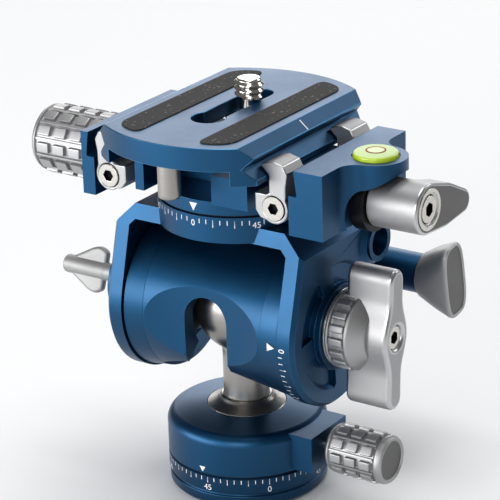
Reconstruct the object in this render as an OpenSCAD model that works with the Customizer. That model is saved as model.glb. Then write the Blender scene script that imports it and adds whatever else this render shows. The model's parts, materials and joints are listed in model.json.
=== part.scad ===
// Hybrid tripod head: a panning base, a levelling ball inside a tilt barrel,
// a tilting yoke with a pan scale, and a lever clamp with a dovetail camera plate.
// Origin: middle of the base's bottom face. X: clamp knob (-) to levers (+). -Y: front. Z: up.

/* [Base] */
// Radius of the base drum and its scale ring
base_r = 17.5; // [15.5:0.5:20]
// Height of the bottom foot
foot_h = 3.6; // [3:0.1:5]
// Height of the graduated ring
scale_ring_h = 3.8; // [3:0.1:5]
// Height of the drum's straight side
drum_side_h = 6.7; // [6.4:0.1:9]
// Radius of the drum's rounded shoulder
drum_round = 2.5; // [2:0.1:3.2]
// Rise of the drum's top from its shoulder to its opening
drum_rise = 1; // [0.8:0.1:1.6]
// Radius of the hub that the drum turns on
hub_r = 6.6; // [6.2:0.1:7]
// Radius of the 3/8 inch 16 UNC tripod socket
socket_r = 4.7625; // [4.7:0.0125:4.8]
// Depth of the tripod socket
socket_depth = 10; // [8:0.5:11]
// Radius of the drum's top opening
opening_r = 8.8; // [8.6:0.1:9.6]
// Radius of the base lock knob
base_knob_r = 5.6; // [4.5:0.1:6]
// Length of the base lock knob
base_knob_len = 14.5; // [11:0.5:18]
// Reach of the lock knob's lug from the axis
base_lug_reach = 21; // [20.5:0.5:24]
// Width of that lug
base_lug_w = 14; // [11:0.5:16]

/* [Stem and ball] */
// Height of the ball centre and the tilt axis
tilt_axis_h = 40.9; // [40.4:0.1:45]
// Radius of the stem
stem_r = 5; // [4.6:0.05:5.1]
// Thickness of the stem's foot flange
flange_h = 2.6; // [2.2:0.1:3]
// Radius of the levelling ball
ball_r = 10.5; // [10:0.1:10.6]
// Thickness of the liner over the ball's top
liner_t = 0.9; // [0.6:0.1:1]

/* [Barrel] */
// Outer radius of the tilt barrel
barrel_r = 16.6; // [16.2:0.1:17.1]
// Radius of the bore that holds the ball cups
barrel_bore_r = 11.6; // [11.6:0.1:12]
// Half width of the barrel without its end caps
barrel_half_w = 15.2; // [14.5:0.1:16]
// Radius of the end caps
cap_r = 17.2; // [17.1:0.1:17.6]
// Width of one end cap
cap_w = 4.3; // [4:0.1:6]
// Width of the drop slot for the stem
slot_w = 10.7; // [10.2:0.1:11.2]
// Radius of the opening for the stem at the barrel's bottom
opening_half = 9.4; // [9.3:0.1:9.8]
// Width of the scooped recess around the slot
scoop_w = 29; // [26:0.5:30]
// Depth of that recess
scoop_depth = 2.3; // [2:0.1:3]
// Radius of the tilt trunnions
trunnion_r = 6; // [5.6:0.1:6.6]

/* [Ball lock] */
// Distance of the ball lock screw behind the tilt axis
lug_reach = 32; // [31:0.5:34]
// Height of the ball lock screw above the tilt axis
lug_rise = 0.8; // [0:0.1:2]
// Radius of the lug around the ball lock screw
lug_r = 5.5; // [5:0.1:5.8]
// Radius of the boss that the ball lock paddle turns on
boss_r = 4.4; // [3.8:0.1:4.8]
// X of the boss's outer end
boss_end = 26; // [24:0.1:28]
// Length of the ball lock paddle
paddle_len = 8.3; // [7:0.1:11]
// Height of the paddle's outer end
paddle_h = 17.6; // [14:0.1:18.4]
// Thickness of the paddle's outer end
paddle_t = 7.4; // [5:0.2:8]

/* [Yoke] */
// Thickness of each yoke arm
arm_t = 4; // [3.4:0.1:5]
// Radius of the arms' round ends
arm_end_r = 17.7; // [17.3:0.1:18.2]
// Lean of the arms' edges from upright, in degrees
arm_lean = 15; // [10:1:18]
// Rise of the bridge's underside above the tilt axis
bridge_rise = 20.2; // [20.2:0.1:22]
// Thickness of the bridge
bridge_t = 3.3; // [3:0.1:4]
// Size of the chamfer on the yoke's shoulders
shoulder = 5; // [3:0.1:6]
// Radius of the pan drum
pan_r = 17.5; // [16:0.1:17.5]
// Height of the pan drum's scale band
pan_h = 5.6; // [5:0.1:7]
// Radius of the pan spindle
spindle_r = 5; // [4:0.1:5.6]
// Radius of the 1/4 inch 20 UNC handle socket
handle_r = 3.175; // [3.1:0.025:3.2]

/* [Knobs on the tilt axis] */
// Radius of the tilt lock knob's ribbed collar
collar_r = 8.7; // [8:0.1:9.4]
// Width of that collar
collar_w = 6; // [5:0.1:8]
// Span of the tilt lock knob's wing
wing_span = 31; // [24:0.5:32]
// Thickness of the wing's ends
wing_t = 5.2; // [4:0.1:7]
// Width of the wing along the tilt axis
wing_w = 10.8; // [9:0.1:12]
// Lean of the wing from upright, in degrees
wing_lean = 3; // [0:1:20]
// How far the wing's middle hangs below the tilt axis
wing_drop = 0.6; // [0:0.1:0.8]
// Radius of the drag screw's hub
drag_hub_r = 2.1; // [2.1:0.1:3]
// Length of the drag screw's wing head
drag_head_len = 11.5; // [9:0.5:14]
// Span of the drag screw's wings
drag_span = 10.8; // [8:0.2:14]

/* [Clamp] */
// Y of the clamp's middle
clamp_y = -2.2; // [-3:0.1:-1]
// Length of the clamp along Y
clamp_len = 32.6; // [31:0.2:36]
// Height of the clamp's blocks
clamp_h = 13.8; // [13.4:0.1:14.2]
// Height of the pan platform's disc
platform_h = 2.95; // [2.6:0.05:3.4]
// Inner half gap between the blocks
jaw_half_gap = 24.2; // [24.1:0.1:26]
// Thickness of the left jaw's wall
left_wall = 3.2; // [3:0.1:4.5]
// Thickness of the right block's wall
right_wall = 8; // [7:0.1:10]
// Radius of the boss under the bubble level
level_boss_r = 6.6; // [6.2:0.1:7.4]
// Radius of the bubble level
level_r = 5; // [4:0.1:5.4]
// Radius of the clamp rod
rod_r = 2.2; // [1.8:0.1:2.4]
// Radius of the lever's barrel
lever_r = 5.35; // [4.6:0.05:5.6]
// X of the lever's outer end
lever_end = 47.1; // [46:0.1:50]
// Length of the lever's arm from its axis to its tip
lever_arm = 17.2; // [13:0.2:18]
// Drop of the lever's arm from level, in degrees
lever_drop = 11; // [0:1:25]
// Radius of the clamp knob
knob_r = 7.7; // [6:0.1:8]
// Length of the clamp knob
knob_len = 22.5; // [16:0.5:26]
// Length of each claw along Y
claw_len = 6.5; // [5:0.1:7]
// Radius of a claw's pivot lobe
claw_lobe_r = 3.3; // [3.1:0.1:3.4]

/* [Camera plate] */
// Half width of the dovetail's lower lips
lip_half = 19.3; // [19:0.1:19.4]
// Half width of the plate's widest upper edge
plate_half = 18.9; // [18.5:0.1:19.3]
// Half width of the plate's top face
top_half = 16.3; // [15:0.1:17]
// Thickness of the plate over its lips
plate_t = 8; // [7.6:0.1:8.6]
// Length of the plate on its middle line
plate_len = 55; // [52:0.5:58]
// Bulge of the plate's rounded ends
end_bulge = 5; // [3:0.1:7]
// Half width of the slot for the camera screw
screw_slot_half = 2.85; // [2.6:0.05:3.1]
// Radius of the 1/4 inch 20 UNC camera screw
screw_r = 3.175; // [3.15:0.025:3.2]
// Length of the camera screw's thread above its neck
screw_len = 4.3; // [3.5:0.1:6]
// Inner half spacing of the rubber strips
strip_in = 7.15; // [6.4:0.05:8]
// Outer half spacing of the rubber strips
strip_out = 14.05; // [12:0.05:14.4]
// Radius of the stop pins
pin_r = 2.4; // [1.8:0.1:2.6]
// Length of the stop pins below the plate
pin_len = 8; // [6:0.2:8.4]

/* [Hidden] */
$fn = 64;

// Finishes
blue = "steelblue";
silver = "silver";
steel = "lightgrey";
black = "dimgray";
nylon = "ivory";

// Clearances
run = 0.03;      // radial play of a running fit
gap = 0.3;       // air between moving pieces
face_gap = 0.05; // air between faces that slide on each other
far = 60;        // longer than any cut needs

// Base heights
washer_h = 0.35;
ring_top = foot_h + scale_ring_h;
drum_z = ring_top + washer_h + face_gap;
shoulder_z = drum_z + drum_side_h;
drum_top = shoulder_z + drum_round + drum_rise;
flange_z = drum_top - flange_h;
retainer_h = 0.9;
retainer_r = hub_r + 1;
hub_top = flange_z - retainer_h - gap - face_gap;
stud_r = 1.7;
base_knob_z = hub_top - stud_r - face_gap;
shoe_len = 2;
tail_r = 3.2;

// Ball and barrel
cap_x = barrel_half_w + cap_w;
arm_in = cap_x + gap;
arm_out = arm_in + arm_t;
plug_x = ball_r + 0.5;
cup_x = ball_r * 0.79;
scoop_half = scoop_w / 2;
scoop_r = (pow(scoop_half, 2) + pow(scoop_depth, 2)) / (2 * scoop_depth);
slot_rise = 0.9;
lip_drop = sqrt(pow(ball_r, 2) - pow(opening_half, 2));
flare_h = barrel_r + 1 - lip_drop;
lug_z = tilt_axis_h + lug_rise;
lock_r = 2;
plunger_r = 2.5;

// Yoke
bridge_z = tilt_axis_h + bridge_rise;
bridge_top = bridge_z + bridge_t;
pan_top = bridge_top + 2.5;
bush_t = 1;
bush_r = trunnion_r + run + bush_t;
boss_w = 1.2;
drag_boss_w = 3.7;
tilt_boss_x = arm_out + boss_w;
drag_boss_x = arm_out + drag_boss_w;
tilt_stud_r = 2.5;
ear_r = 4.4;
ear_y = arm_end_r - 2.9;
ear_z = tilt_axis_h + 14.1;
collar_x = tilt_boss_x + 0.6;
wing_x = collar_x + collar_w - 4.3;
wing_end = wing_x + wing_w;
drag_cap_w = 3;
drag_shaft_x = drag_boss_x + drag_cap_w + 6;
drag_end = drag_shaft_x + drag_head_len;

// Pan platform and clamp
bearing_h = 0.3;
platform_z = pan_top + bearing_h + face_gap;
platform_top = platform_z + platform_h;
platform_r = pan_r - 0.3;
friction_h = 0.4;
spindle_head_h = 1.8;
spindle_z = bridge_z - friction_h - face_gap;
retainer_bolt_r = 2.5;
clamp_z = platform_z - 0.05;
clamp_top = clamp_z + clamp_h;
rod_z = platform_top + 1.4;
clamp_y0 = clamp_y - clamp_len / 2;
clamp_y1 = clamp_y + clamp_len / 2;
bed_half = 14;
bed_top = platform_top + 6.3;
pocket_x = [-11.8, 5.2];
pocket_y = clamp_y - 4.2;
bar_in = 17.2;
bar_y0 = clamp_y0 + claw_len + 0.35;
bar_y1 = clamp_y1 - claw_len - 0.35;
right_out = jaw_half_gap + right_wall;
left_out = jaw_half_gap + left_wall;
lever_pocket_r = lever_r + 3.4;
lever_pocket_z = rod_z - 1.8;
cam_r = lever_r + 1.25;
cam_washer_w = 3.1;
lever_x = right_out + cam_washer_w + 2 * face_gap;
level_x = right_out + 2.6;
lever_arm_x = level_x + level_boss_r + 0.5;
lever_mid_r = 4.6;
lever_tip_r = 2.6;
level_depth = 1.6;
level_h = 2.8;
knob_x = left_out + 0.4;
guide_r = 1;
guide_y = bar_y1 - guide_r - 0.45;
guide_z = rod_z + 3.4;
spring_pocket = rod_r + 1.5;
spring_len = 7.4;
bolt_r = 1.5;
bolt_head_r = 2.6;
bolt_x = platform_r * 0.54;
bolt_y = 9.5;

// Camera plate
plate_y = clamp_y + 0.2;
plate_z = clamp_top - 3.1;
plate_top = plate_z + plate_t;
lip_h = 1.1;
groove_in = lip_half - 2.4;
lip_inner = lip_half - 4.4;
recess_h = 3.1;
seat_z = plate_z + recess_h;
chamfer_h = 2.2;
end_r = (pow(top_half, 2) + pow(end_bulge, 2)) / (2 * end_bulge);
end_c = end_r - plate_len / 2;
bar_top = plate_z - 0.2;
claw_x = lip_half + 1.3;
claw_z = bar_top - 5.5;
claw_bolt_r = 1.5;
claw_head_r = 2.5;
claw_head_h = 2;
strip_rise = 0.25;
strip_deep = 0.6;
head_r = 5.2;
head_h = 2.2;
washer_t = 0.7;
counter_h = 2;
counter_z = seat_z + counter_h;
screw_y = plate_y + 6.5;
neck_r = 2.2;
thread_z = plate_top + 0.25;

// Helper shapes
module cyl_x(r, x0, x1, y = 0, z = 0)
  translate([x0, y, z]) rotate([0, 90, 0]) cylinder(r = r, h = x1 - x0);
module cyl_y(r, y0, y1, x = 0, z = 0)
  translate([x, y1, z]) rotate([90, 0, 0]) cylinder(r = r, h = y1 - y0);
module cyl_z(r, z0, z1, x = 0, y = 0)
  translate([x, y, z0]) cylinder(r = r, h = z1 - z0);
module box(lo, hi) translate(lo) cube(hi - lo);
// Turned about X: outline points are [radius, x]
module turned_x(outline, y = 0, z = 0)
  translate([0, y, z]) rotate([0, 90, 0]) rotate_extrude() polygon(outline);
module turned_z(outline) rotate_extrude() polygon(outline);
// Flat shape in the YZ plane, from x0 to x1
module slab_x(x0, x1) translate([x0, 0, 0]) rotate([90, 0, 90]) linear_extrude(x1 - x0) children();
// Flat shape in the XZ plane, from y0 to y1
module slab_y(y0, y1) translate([0, y1, 0]) rotate([90, 0, 0]) linear_extrude(y1 - y0) children();
module tube_x(ro, ri, x0, x1, y = 0, z = 0) difference() {
  cyl_x(ro, x0, x1, y, z);
  cyl_x(ri, x0 - 1, x1 + 1, y, z);
}
// Round end that tapers to a smaller round tip at distance d along the first axis
module teardrop(big, small, d) hull() {
  circle(big, $fn = 32);
  translate([d, 0]) circle(small, $fn = 32);
}
// Round end that bulges like a leaf on its way to a smaller round tip
module leaf(big, middle, small, d) hull() {
  circle(big, $fn = 32);
  translate([d * 0.5, 0]) circle(middle, $fn = 32);
  translate([d, 0]) circle(small, $fn = 32);
}
// Barrel shaped grip knob along X, crowned over its middle
module grip_knob(r, x0, x1, y, z) {
  edge = r * 0.2;
  turned_x([[0, x0], [r - edge, x0], [r, x0 + edge], [r, x1 - edge], [r - edge, x1], [0, x1]], y, z);
}
module hex_recess(r, depth) cylinder(r = r, h = depth, $fn = 6);

// Panning base
module base_foot() color(blue) difference() {
  union() {
    turned_z([[0, 0], [base_r - 1.2, 0], [base_r, 1.2], [base_r, foot_h], [0, foot_h]]);
    cyl_z(hub_r, foot_h, hub_top);
  }
  cyl_z(socket_r, -1, socket_depth);
  cyl_z(socket_r - 1.8, socket_depth - 0.5, hub_top + 1);
}
module base_scale_ring() color(blue) difference() {
  cyl_z(base_r, foot_h, ring_top);
  cyl_z(hub_r, 0, ring_top + 1);
}
module base_thrust_washer() color(black) difference() {
  cyl_z(base_r - 0.6, ring_top, ring_top + washer_h);
  cyl_z(hub_r + gap, 0, ring_top + 1);
}
module base_retainer() color(steel) {
  cyl_z(retainer_r, hub_top, hub_top + retainer_h);
  cyl_z(socket_r - 1.8, socket_depth + 0.6, hub_top);
}
module base_drum() color(blue) difference() {
  union() {
    rotate_extrude($fn = 96) {
      polygon([
        [0, drum_z], [base_r, drum_z], [base_r, shoulder_z], [base_r - drum_round, shoulder_z + drum_round],
        [opening_r, drum_top], [0, drum_top]
      ]);
      translate([base_r - drum_round, shoulder_z]) circle(drum_round);
    }
    box([hub_r, -base_lug_w / 2, drum_z + 0.4],
        [base_lug_reach, base_lug_w / 2, shoulder_z + drum_round - 0.6]);
  }
  cyl_z(hub_r + run, 0, hub_top);
  cyl_z(retainer_r + gap, hub_top - face_gap, drum_top + 1);
  cyl_z(opening_r - face_gap, flange_z, drum_top + 1);
  cyl_x(stud_r + run, 0, base_lug_reach + 1, 0, base_knob_z);
}
module base_brake_shoe() color("peru")
  cyl_x(stud_r, hub_r + gap, hub_r + gap + shoe_len, 0, base_knob_z);
module base_lock_knob() color(silver) difference() {
  union() {
    grip_knob(base_knob_r, base_lug_reach + 1.3, base_lug_reach + 1.3 + base_knob_len, 0, base_knob_z);
    cyl_x(base_knob_r * 0.65, base_lug_reach + gap, base_lug_reach + 1.4, 0, base_knob_z);
  }
  cyl_x(stud_r, 0, base_lug_reach + base_knob_len / 2, 0, base_knob_z);
}
module base_lock_stud() color(steel)
  cyl_x(stud_r, hub_r + gap + shoe_len + face_gap, base_lug_reach + base_knob_len / 2, 0, base_knob_z);

// Stem and levelling ball
module stem_flange() color(silver) turned_z([
  [tail_r, flange_z], [opening_r - face_gap, flange_z], [opening_r - face_gap, drum_top],
  [stem_r + 1.4, drum_top + 0.9], [stem_r + 0.5, drum_top + 2], [stem_r, drum_top + 2],
  [stem_r, drum_top - 1.2], [tail_r, drum_top - 1.2]
]);
module ball_stem() color(silver) {
  turned_z([
    [0, flange_z + 0.2], [tail_r, flange_z + 0.2], [tail_r, drum_top - 1.2], [stem_r, drum_top - 1.2],
    [stem_r, tilt_axis_h - 1], [0, tilt_axis_h - 1]
  ]);
  translate([0, 0, tilt_axis_h]) sphere(ball_r, $fn = 96);
}
module ball_liner() color(nylon) difference() {
  translate([0, 0, tilt_axis_h]) sphere(ball_r + liner_t, $fn = 96);
  translate([0, 0, tilt_axis_h]) sphere(ball_r + run, $fn = 96);
  cyl_z(far, 0, tilt_axis_h + ball_r * 0.9);
  cyl_z(1.6, 0, far * 2);
}

// Tilt barrel around the ball
module stem_slot() {
  half = slot_w / 2;
  box([-half, -far, 0], [half, 0, tilt_axis_h + slot_rise]);
  cyl_y(half, -far, 0, 0, tilt_axis_h + slot_rise);
  cyl_z(opening_half, 0, tilt_axis_h);
}
// Widens the bottom opening from where the cups let go of the ball
module stem_flare() translate([0, 0, tilt_axis_h - barrel_r - 1])
  cylinder(r1 = opening_half + flare_h, r2 = opening_half, h = flare_h);
module barrel() color(blue) difference() {
  union() {
    cyl_x(barrel_r, -barrel_half_w, barrel_half_w, 0, tilt_axis_h);
    box([-lug_r - 1.5, 0, lug_z - lug_r], [lug_r + 3.5, lug_reach, lug_z + lug_r]);
    cyl_x(lug_r, -lug_r - 2.5, lug_r + 6.5, lug_reach, lug_z);
    cyl_x(boss_r, 0, boss_end, lug_reach, lug_z);
  }
  cyl_x(barrel_bore_r, -far, far, 0, tilt_axis_h);
  stem_slot();
  stem_flare();
  cyl_z(scoop_r, tilt_axis_h - barrel_r, tilt_axis_h + barrel_r, 0, -barrel_r + scoop_depth - scoop_r);
  cyl_x(lock_r + run, -lug_r, far, lug_reach, lug_z);
  cyl_y(plunger_r + run, ball_r, lug_reach, 0, lug_z);
}
module barrel_cap(side) color(blue) mirror([side < 0 ? 1 : 0, 0, 0]) difference() {
  union() {
    cyl_x(cap_r, barrel_half_w, cap_x, 0, tilt_axis_h);
    difference() {
      cyl_x(barrel_bore_r - run, plug_x, barrel_half_w + 1, 0, tilt_axis_h);
      stem_flare();
    }
    cyl_x(trunnion_r, cap_x - 1, side > 0 ? tilt_boss_x - 0.2 : arm_out + 1.2, 0, tilt_axis_h);
  }
  if (side > 0) cyl_x(tilt_stud_r, cap_x - 4, far, 0, tilt_axis_h);
}
module barrel_cap_left() barrel_cap(-1);
module barrel_cap_right() barrel_cap(1);
module ball_cup(side) color(nylon) mirror([side < 0 ? 1 : 0, 0, 0]) difference() {
  cyl_x(barrel_bore_r - run, cup_x, plug_x - face_gap, 0, tilt_axis_h);
  translate([0, 0, tilt_axis_h]) sphere(ball_r + run, $fn = 96);
  stem_slot();
  stem_flare();
}
module ball_cup_left() ball_cup(-1);
module ball_cup_right() ball_cup(1);
module ball_lock_plunger() color("peru")
  cyl_y(plunger_r, ball_r + gap, lug_reach - lock_r - gap, 0, lug_z);
module ball_lock_screw() color(steel)
  cyl_x(lock_r, -lug_r, boss_end + paddle_len / 2, lug_reach, lug_z);
module ball_lock_paddle() color(silver) difference() {
  translate([0, lug_reach, lug_z]) rotate([10, 0, 0]) hull() {
    cyl_x(lug_r - 0.6, boss_end + gap, boss_end + 2.2);
    box([boss_end + paddle_len - 1, -paddle_t / 2, -paddle_h / 2 + 2],
        [boss_end + paddle_len, paddle_t / 2, paddle_h / 2 - 2]);
    box([boss_end + paddle_len - 1, -paddle_t / 4, -paddle_h / 2],
        [boss_end + paddle_len, paddle_t / 4, paddle_h / 2]);
  }
  cyl_x(lock_r, 0, boss_end + paddle_len / 2, lug_reach, lug_z);
}

// Tilting yoke
module yoke_side() {
  rise = bridge_top - tilt_axis_h;
  foot = arm_end_r * [cos(arm_lean), sin(arm_lean)];
  top_y = (arm_end_r - rise * sin(arm_lean)) / cos(arm_lean);
  translate([0, tilt_axis_h]) {
    circle(arm_end_r, $fn = 96);
    polygon([[-foot.x, foot.y], [foot.x, foot.y], [top_y, rise], [-top_y, rise]]);
  }
}
module yoke_front() {
  low = tilt_axis_h - arm_end_r - 1;
  inner = 1.4;
  polygon([
    [-arm_out, low], [-arm_out, bridge_top - shoulder], [-arm_out + shoulder, bridge_top],
    [arm_out - shoulder, bridge_top], [arm_out, bridge_top - shoulder], [arm_out, low],
    [arm_in, low], [arm_in, bridge_z - inner], [arm_in - inner, bridge_z],
    [-arm_in + inner, bridge_z], [-arm_in, bridge_z - inner], [-arm_in, low]
  ]);
}
// Recess between the knob's boss and the arm's rim, split by ribs
module arm_pocket() difference() {
  tube_x(collar_r + 4.4, collar_r + 0.9, arm_out - 1.1, arm_out + 1, 0, tilt_axis_h);
  for (a = [20, 100, 185, 300])
    translate([0, 0, tilt_axis_h]) rotate([a, 0, 0]) box([0, -2.2, 0], [far, 2.2, far]);
}
module yoke() color(blue) difference() {
  union() {
    intersection() {
      slab_x(-arm_out, arm_out) yoke_side();
      slab_y(-far, far) yoke_front();
    }
    cyl_z(pan_r, pan_top - pan_h, pan_top);
    cyl_x(collar_r + 0.7, arm_in + 1, tilt_boss_x, 0, tilt_axis_h);
    cyl_x(collar_r - 0.1, -drag_boss_x, -arm_in - 1, 0, tilt_axis_h);
    cyl_x(ear_r, arm_in, arm_out + 1.6, ear_y, ear_z);
  }
  arm_pocket();
  cyl_x(bush_r, -far, far, 0, tilt_axis_h);
  cyl_z(spindle_r + run, 0, pan_top + 1);
  cyl_x(handle_r, arm_in - 1, far, ear_y, ear_z);
}
module tilt_bush_left() color("darkgoldenrod")
  tube_x(bush_r, trunnion_r + run, -drag_boss_x, -arm_in, 0, tilt_axis_h);
module tilt_bush_right() color("darkgoldenrod")
  tube_x(bush_r, trunnion_r + run, arm_in, tilt_boss_x, 0, tilt_axis_h);
module tilt_lock_washer() color(steel)
  tube_x(collar_r - 0.2, tilt_stud_r, tilt_boss_x + 0.1, collar_x, 0, tilt_axis_h);
module tilt_lock_stud() color(steel)
  cyl_x(tilt_stud_r - run, cap_x - 3.8, wing_end - 4, 0, tilt_axis_h);
module wing_outline() for (turn = [0, 180])
  rotate(90 + turn)
    teardrop(wing_t * 0.9, wing_t / 2, (wing_span - wing_t) / 2 - wing_drop * cos(turn));
module tilt_wing_knob() color(silver) difference() {
  union() {
    turned_x([
      [0, collar_x], [collar_r, collar_x], [collar_r, collar_x + collar_w],
      [wing_t, collar_x + collar_w + 2.4], [0, collar_x + collar_w + 2.4]
    ], 0, tilt_axis_h);
    translate([0, 0, tilt_axis_h]) rotate([-wing_lean, 0, 0])
      slab_x(wing_x, wing_end) wing_outline();
  }
  cyl_x(tilt_stud_r - run, 0, wing_end - 4, 0, tilt_axis_h);
  cyl_x(tilt_stud_r, wing_end - 4, wing_end + 1, 0, tilt_axis_h);
}
module tilt_knob_screw() color(steel) difference() {
  cyl_x(tilt_stud_r, wing_end - 4, wing_end - 0.6, 0, tilt_axis_h);
  translate([wing_end - 2, 0, tilt_axis_h]) rotate([0, 90, 0]) hex_recess(1.4, 3);
}
module drag_pad() color("peru")
  cyl_x(trunnion_r - 0.1, -drag_boss_x, -arm_out - 1.25, 0, tilt_axis_h);
module drag_cap() color(blue) difference() {
  cyl_x(collar_r - 0.1, -drag_boss_x - drag_cap_w, -drag_boss_x, 0, tilt_axis_h);
  cyl_x(drag_hub_r - 0.1 + run, -far, 0, 0, tilt_axis_h);
}
module drag_screw() color(silver) {
  cyl_x(drag_hub_r - 0.1, -drag_shaft_x, -drag_boss_x - face_gap, 0, tilt_axis_h);
  cyl_x(drag_hub_r, -drag_end, -drag_shaft_x, 0, tilt_axis_h);
  translate([0, 0, tilt_axis_h]) rotate([-20, 0, 0]) slab_y(-0.8, 0.8) polygon([
    [-drag_shaft_x - 0.4, -drag_span / 2 + 1], [-drag_shaft_x - 0.4, drag_span / 2 - 1],
    [-drag_shaft_x - 2.5, drag_span / 2], [-drag_shaft_x - 4.5, drag_span / 2 - 0.5],
    [-drag_end + 1, drag_hub_r - 0.6], [-drag_end + 1, 0.6 - drag_hub_r],
    [-drag_shaft_x - 4.5, -drag_span / 2 + 0.5], [-drag_shaft_x - 2.5, -drag_span / 2]
  ]);
}

// Pan bearing and platform
module pan_bearing_ring() color(black) difference() {
  cyl_z(platform_r - 0.8, pan_top, pan_top + bearing_h);
  cyl_z(spindle_r + 1.5, 0, far * 2);
}
module pan_friction_washer() color(nylon) difference() {
  cyl_z(spindle_r + 2.8, bridge_z - friction_h, bridge_z);
  cyl_z(spindle_r + run, 0, far * 2);
}
module bolt_places() for (place = [[bolt_x, -bolt_y], [bolt_x, bolt_y], [-bolt_x, bolt_y]])
  translate(place) children();
module pan_platform() color(blue) difference() {
  union() {
    cyl_z(platform_r, platform_z, platform_top);
    cyl_z(spindle_r, spindle_z, platform_z);
  }
  cyl_z(retainer_bolt_r, 0, platform_z);
  cyl_x(rod_r + gap, -far, far, clamp_y, rod_z);
  cyl_x(spring_pocket, -far, -bar_in + spring_len, clamp_y, rod_z);
  bolt_places() {
    cyl_z(bolt_r, 0, far * 2);
    cyl_z(bolt_head_r + 0.1, 0, platform_z + platform_h / 2);
  }
}

module pan_retainer() color(steel) {
  cyl_z(spindle_r + 3, spindle_z - spindle_head_h, spindle_z);
  cyl_z(retainer_bolt_r, spindle_z, platform_z - 0.2);
}

// Lever clamp
module wall_outline() {
  fillet = 4;
  dx = right_out + fillet - level_x;
  dy = sqrt(pow(level_boss_r + fillet, 2) - pow(dx, 2));
  translate([jaw_half_gap, clamp_y0]) square([right_wall, clamp_len]);
  translate([level_x, clamp_y]) circle(level_boss_r);
  for (s = [-1, 1]) difference() {
    polygon([
      [right_out - 1, clamp_y], [right_out - 1, clamp_y + s * dy], [right_out + fillet, clamp_y + s * dy],
      [level_x, clamp_y]
    ]);
    translate([right_out + fillet, clamp_y + s * dy]) circle(fillet);
  }
}
// Undercut that lets the claws swing out, drawn for the right side
module claw_relief() slab_y(-far, far) polygon([
  [jaw_half_gap - 1, clamp_top + 1], [jaw_half_gap + 1.3, clamp_top + 1], [jaw_half_gap + 1.3, clamp_top],
  [jaw_half_gap + 2, claw_z + 3.4], [jaw_half_gap - 1, claw_z + 3.4]
]);
module claw_bolt_holes(side) for (y = [bar_y0 + 6, bar_y1])
  cyl_y(claw_bolt_r, y - 6, y, side * claw_x, claw_z);
module clamp_body() color(blue) difference() {
  union() {
    box([-bed_half, clamp_y0 + 0.5, platform_top], [bed_half, clamp_y1, bed_top]);
    box([bed_half - 1, clamp_y - 6, platform_top], [bar_in + 1, clamp_y + 6, bed_top]);
    box([bar_in, bar_y0, platform_top], [jaw_half_gap, bar_y1, bar_top]);
    difference() {
      translate([0, 0, clamp_z]) linear_extrude(clamp_h) wall_outline();
      claw_relief();
    }
  }
  box([pocket_x[0], -far, 0], [pocket_x[1], pocket_y, far * 2]);
  cyl_x(rod_r + run, -far, far, clamp_y, rod_z);
  cyl_x(spring_pocket, -far, -bar_in + spring_len, clamp_y, rod_z);
  cyl_x(guide_r + run, -far, -6, guide_y, guide_z);
  cyl_x(lever_pocket_r, right_out, far, clamp_y, lever_pocket_z);
  cyl_z(level_r, clamp_top - level_depth, far * 2, level_x, clamp_y);
  claw_bolt_holes(1);
  bolt_places() cyl_z(bolt_r, 0, bed_top - 0.5);
}
module clamp_bolts() color(steel) bolt_places() {
  cyl_z(bolt_r, platform_z + platform_h / 2, bed_top - 0.6);
  difference() {
    cyl_z(bolt_head_r, platform_z + 0.1, platform_z + platform_h / 2);
    cyl_z(bolt_r * 0.8, 0, platform_z + 0.9);
  }
}
module level_vial() color("yellowgreen")
  cyl_z(level_r, clamp_top - level_depth, clamp_top - level_depth + level_h, level_x, clamp_y);
module cam_washer() color(steel)
  tube_x(cam_r, rod_r + run, right_out, right_out + cam_washer_w, clamp_y, rod_z);
module clamp_lever() color(silver) difference() {
  union() {
    cyl_x(lever_r - 0.2, lever_x, lever_arm_x + 1, clamp_y, rod_z);
    translate([0, clamp_y, rod_z]) rotate([-lever_drop, 0, 0])
      slab_x(lever_arm_x, lever_end) leaf(lever_r, lever_mid_r, lever_tip_r, lever_arm - lever_tip_r);
  }
  cyl_x(rod_r + run, 0, lever_end - 6, clamp_y, rod_z);
  cyl_x(lever_r * 0.53, lever_end - 3, far, clamp_y, rod_z);
  tube_x(lever_r * 0.82, lever_r * 0.66, lever_end - 0.5, far, clamp_y, rod_z);
}
module lever_ring() color(steel)
  tube_x(lever_r * 0.82, lever_r * 0.66, lever_end - 0.5, lever_end + 0.15, clamp_y, rod_z);
module lever_screw() color(steel) difference() {
  cyl_x(lever_r * 0.53, lever_end - 3, lever_end, clamp_y, rod_z);
  translate([lever_end - 1.5, clamp_y, rod_z]) rotate([0, 90, 0]) hex_recess(1.5, 3);
}
module clamp_rod() color(steel)
  cyl_x(rod_r, -knob_x - knob_len * 0.8, lever_end - 6.6, clamp_y, rod_z);
module clamp_knob() color(silver) difference() {
  grip_knob(knob_r, -knob_x - knob_len, -knob_x, clamp_y, rod_z);
  cyl_x(rod_r + run, -knob_x - knob_len * 0.8 - gap, 0, clamp_y, rod_z);
}
module left_jaw() color(blue) difference() {
  union() {
    difference() {
      box([-left_out, clamp_y0, clamp_z], [-jaw_half_gap, clamp_y1, clamp_top]);
      mirror([1, 0, 0]) claw_relief();
    }
    box([-jaw_half_gap, bar_y0, platform_top], [-bar_in, bar_y1, bar_top]);
  }
  cyl_x(rod_r + run, -far, 0, clamp_y, rod_z);
  cyl_x(guide_r, -left_out + 1.2, 0, guide_y, guide_z);
  claw_bolt_holes(-1);
}
module jaw_guide_pin() color(steel)
  cyl_x(guide_r, -left_out + 1.2, -7, guide_y, guide_z);

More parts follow.
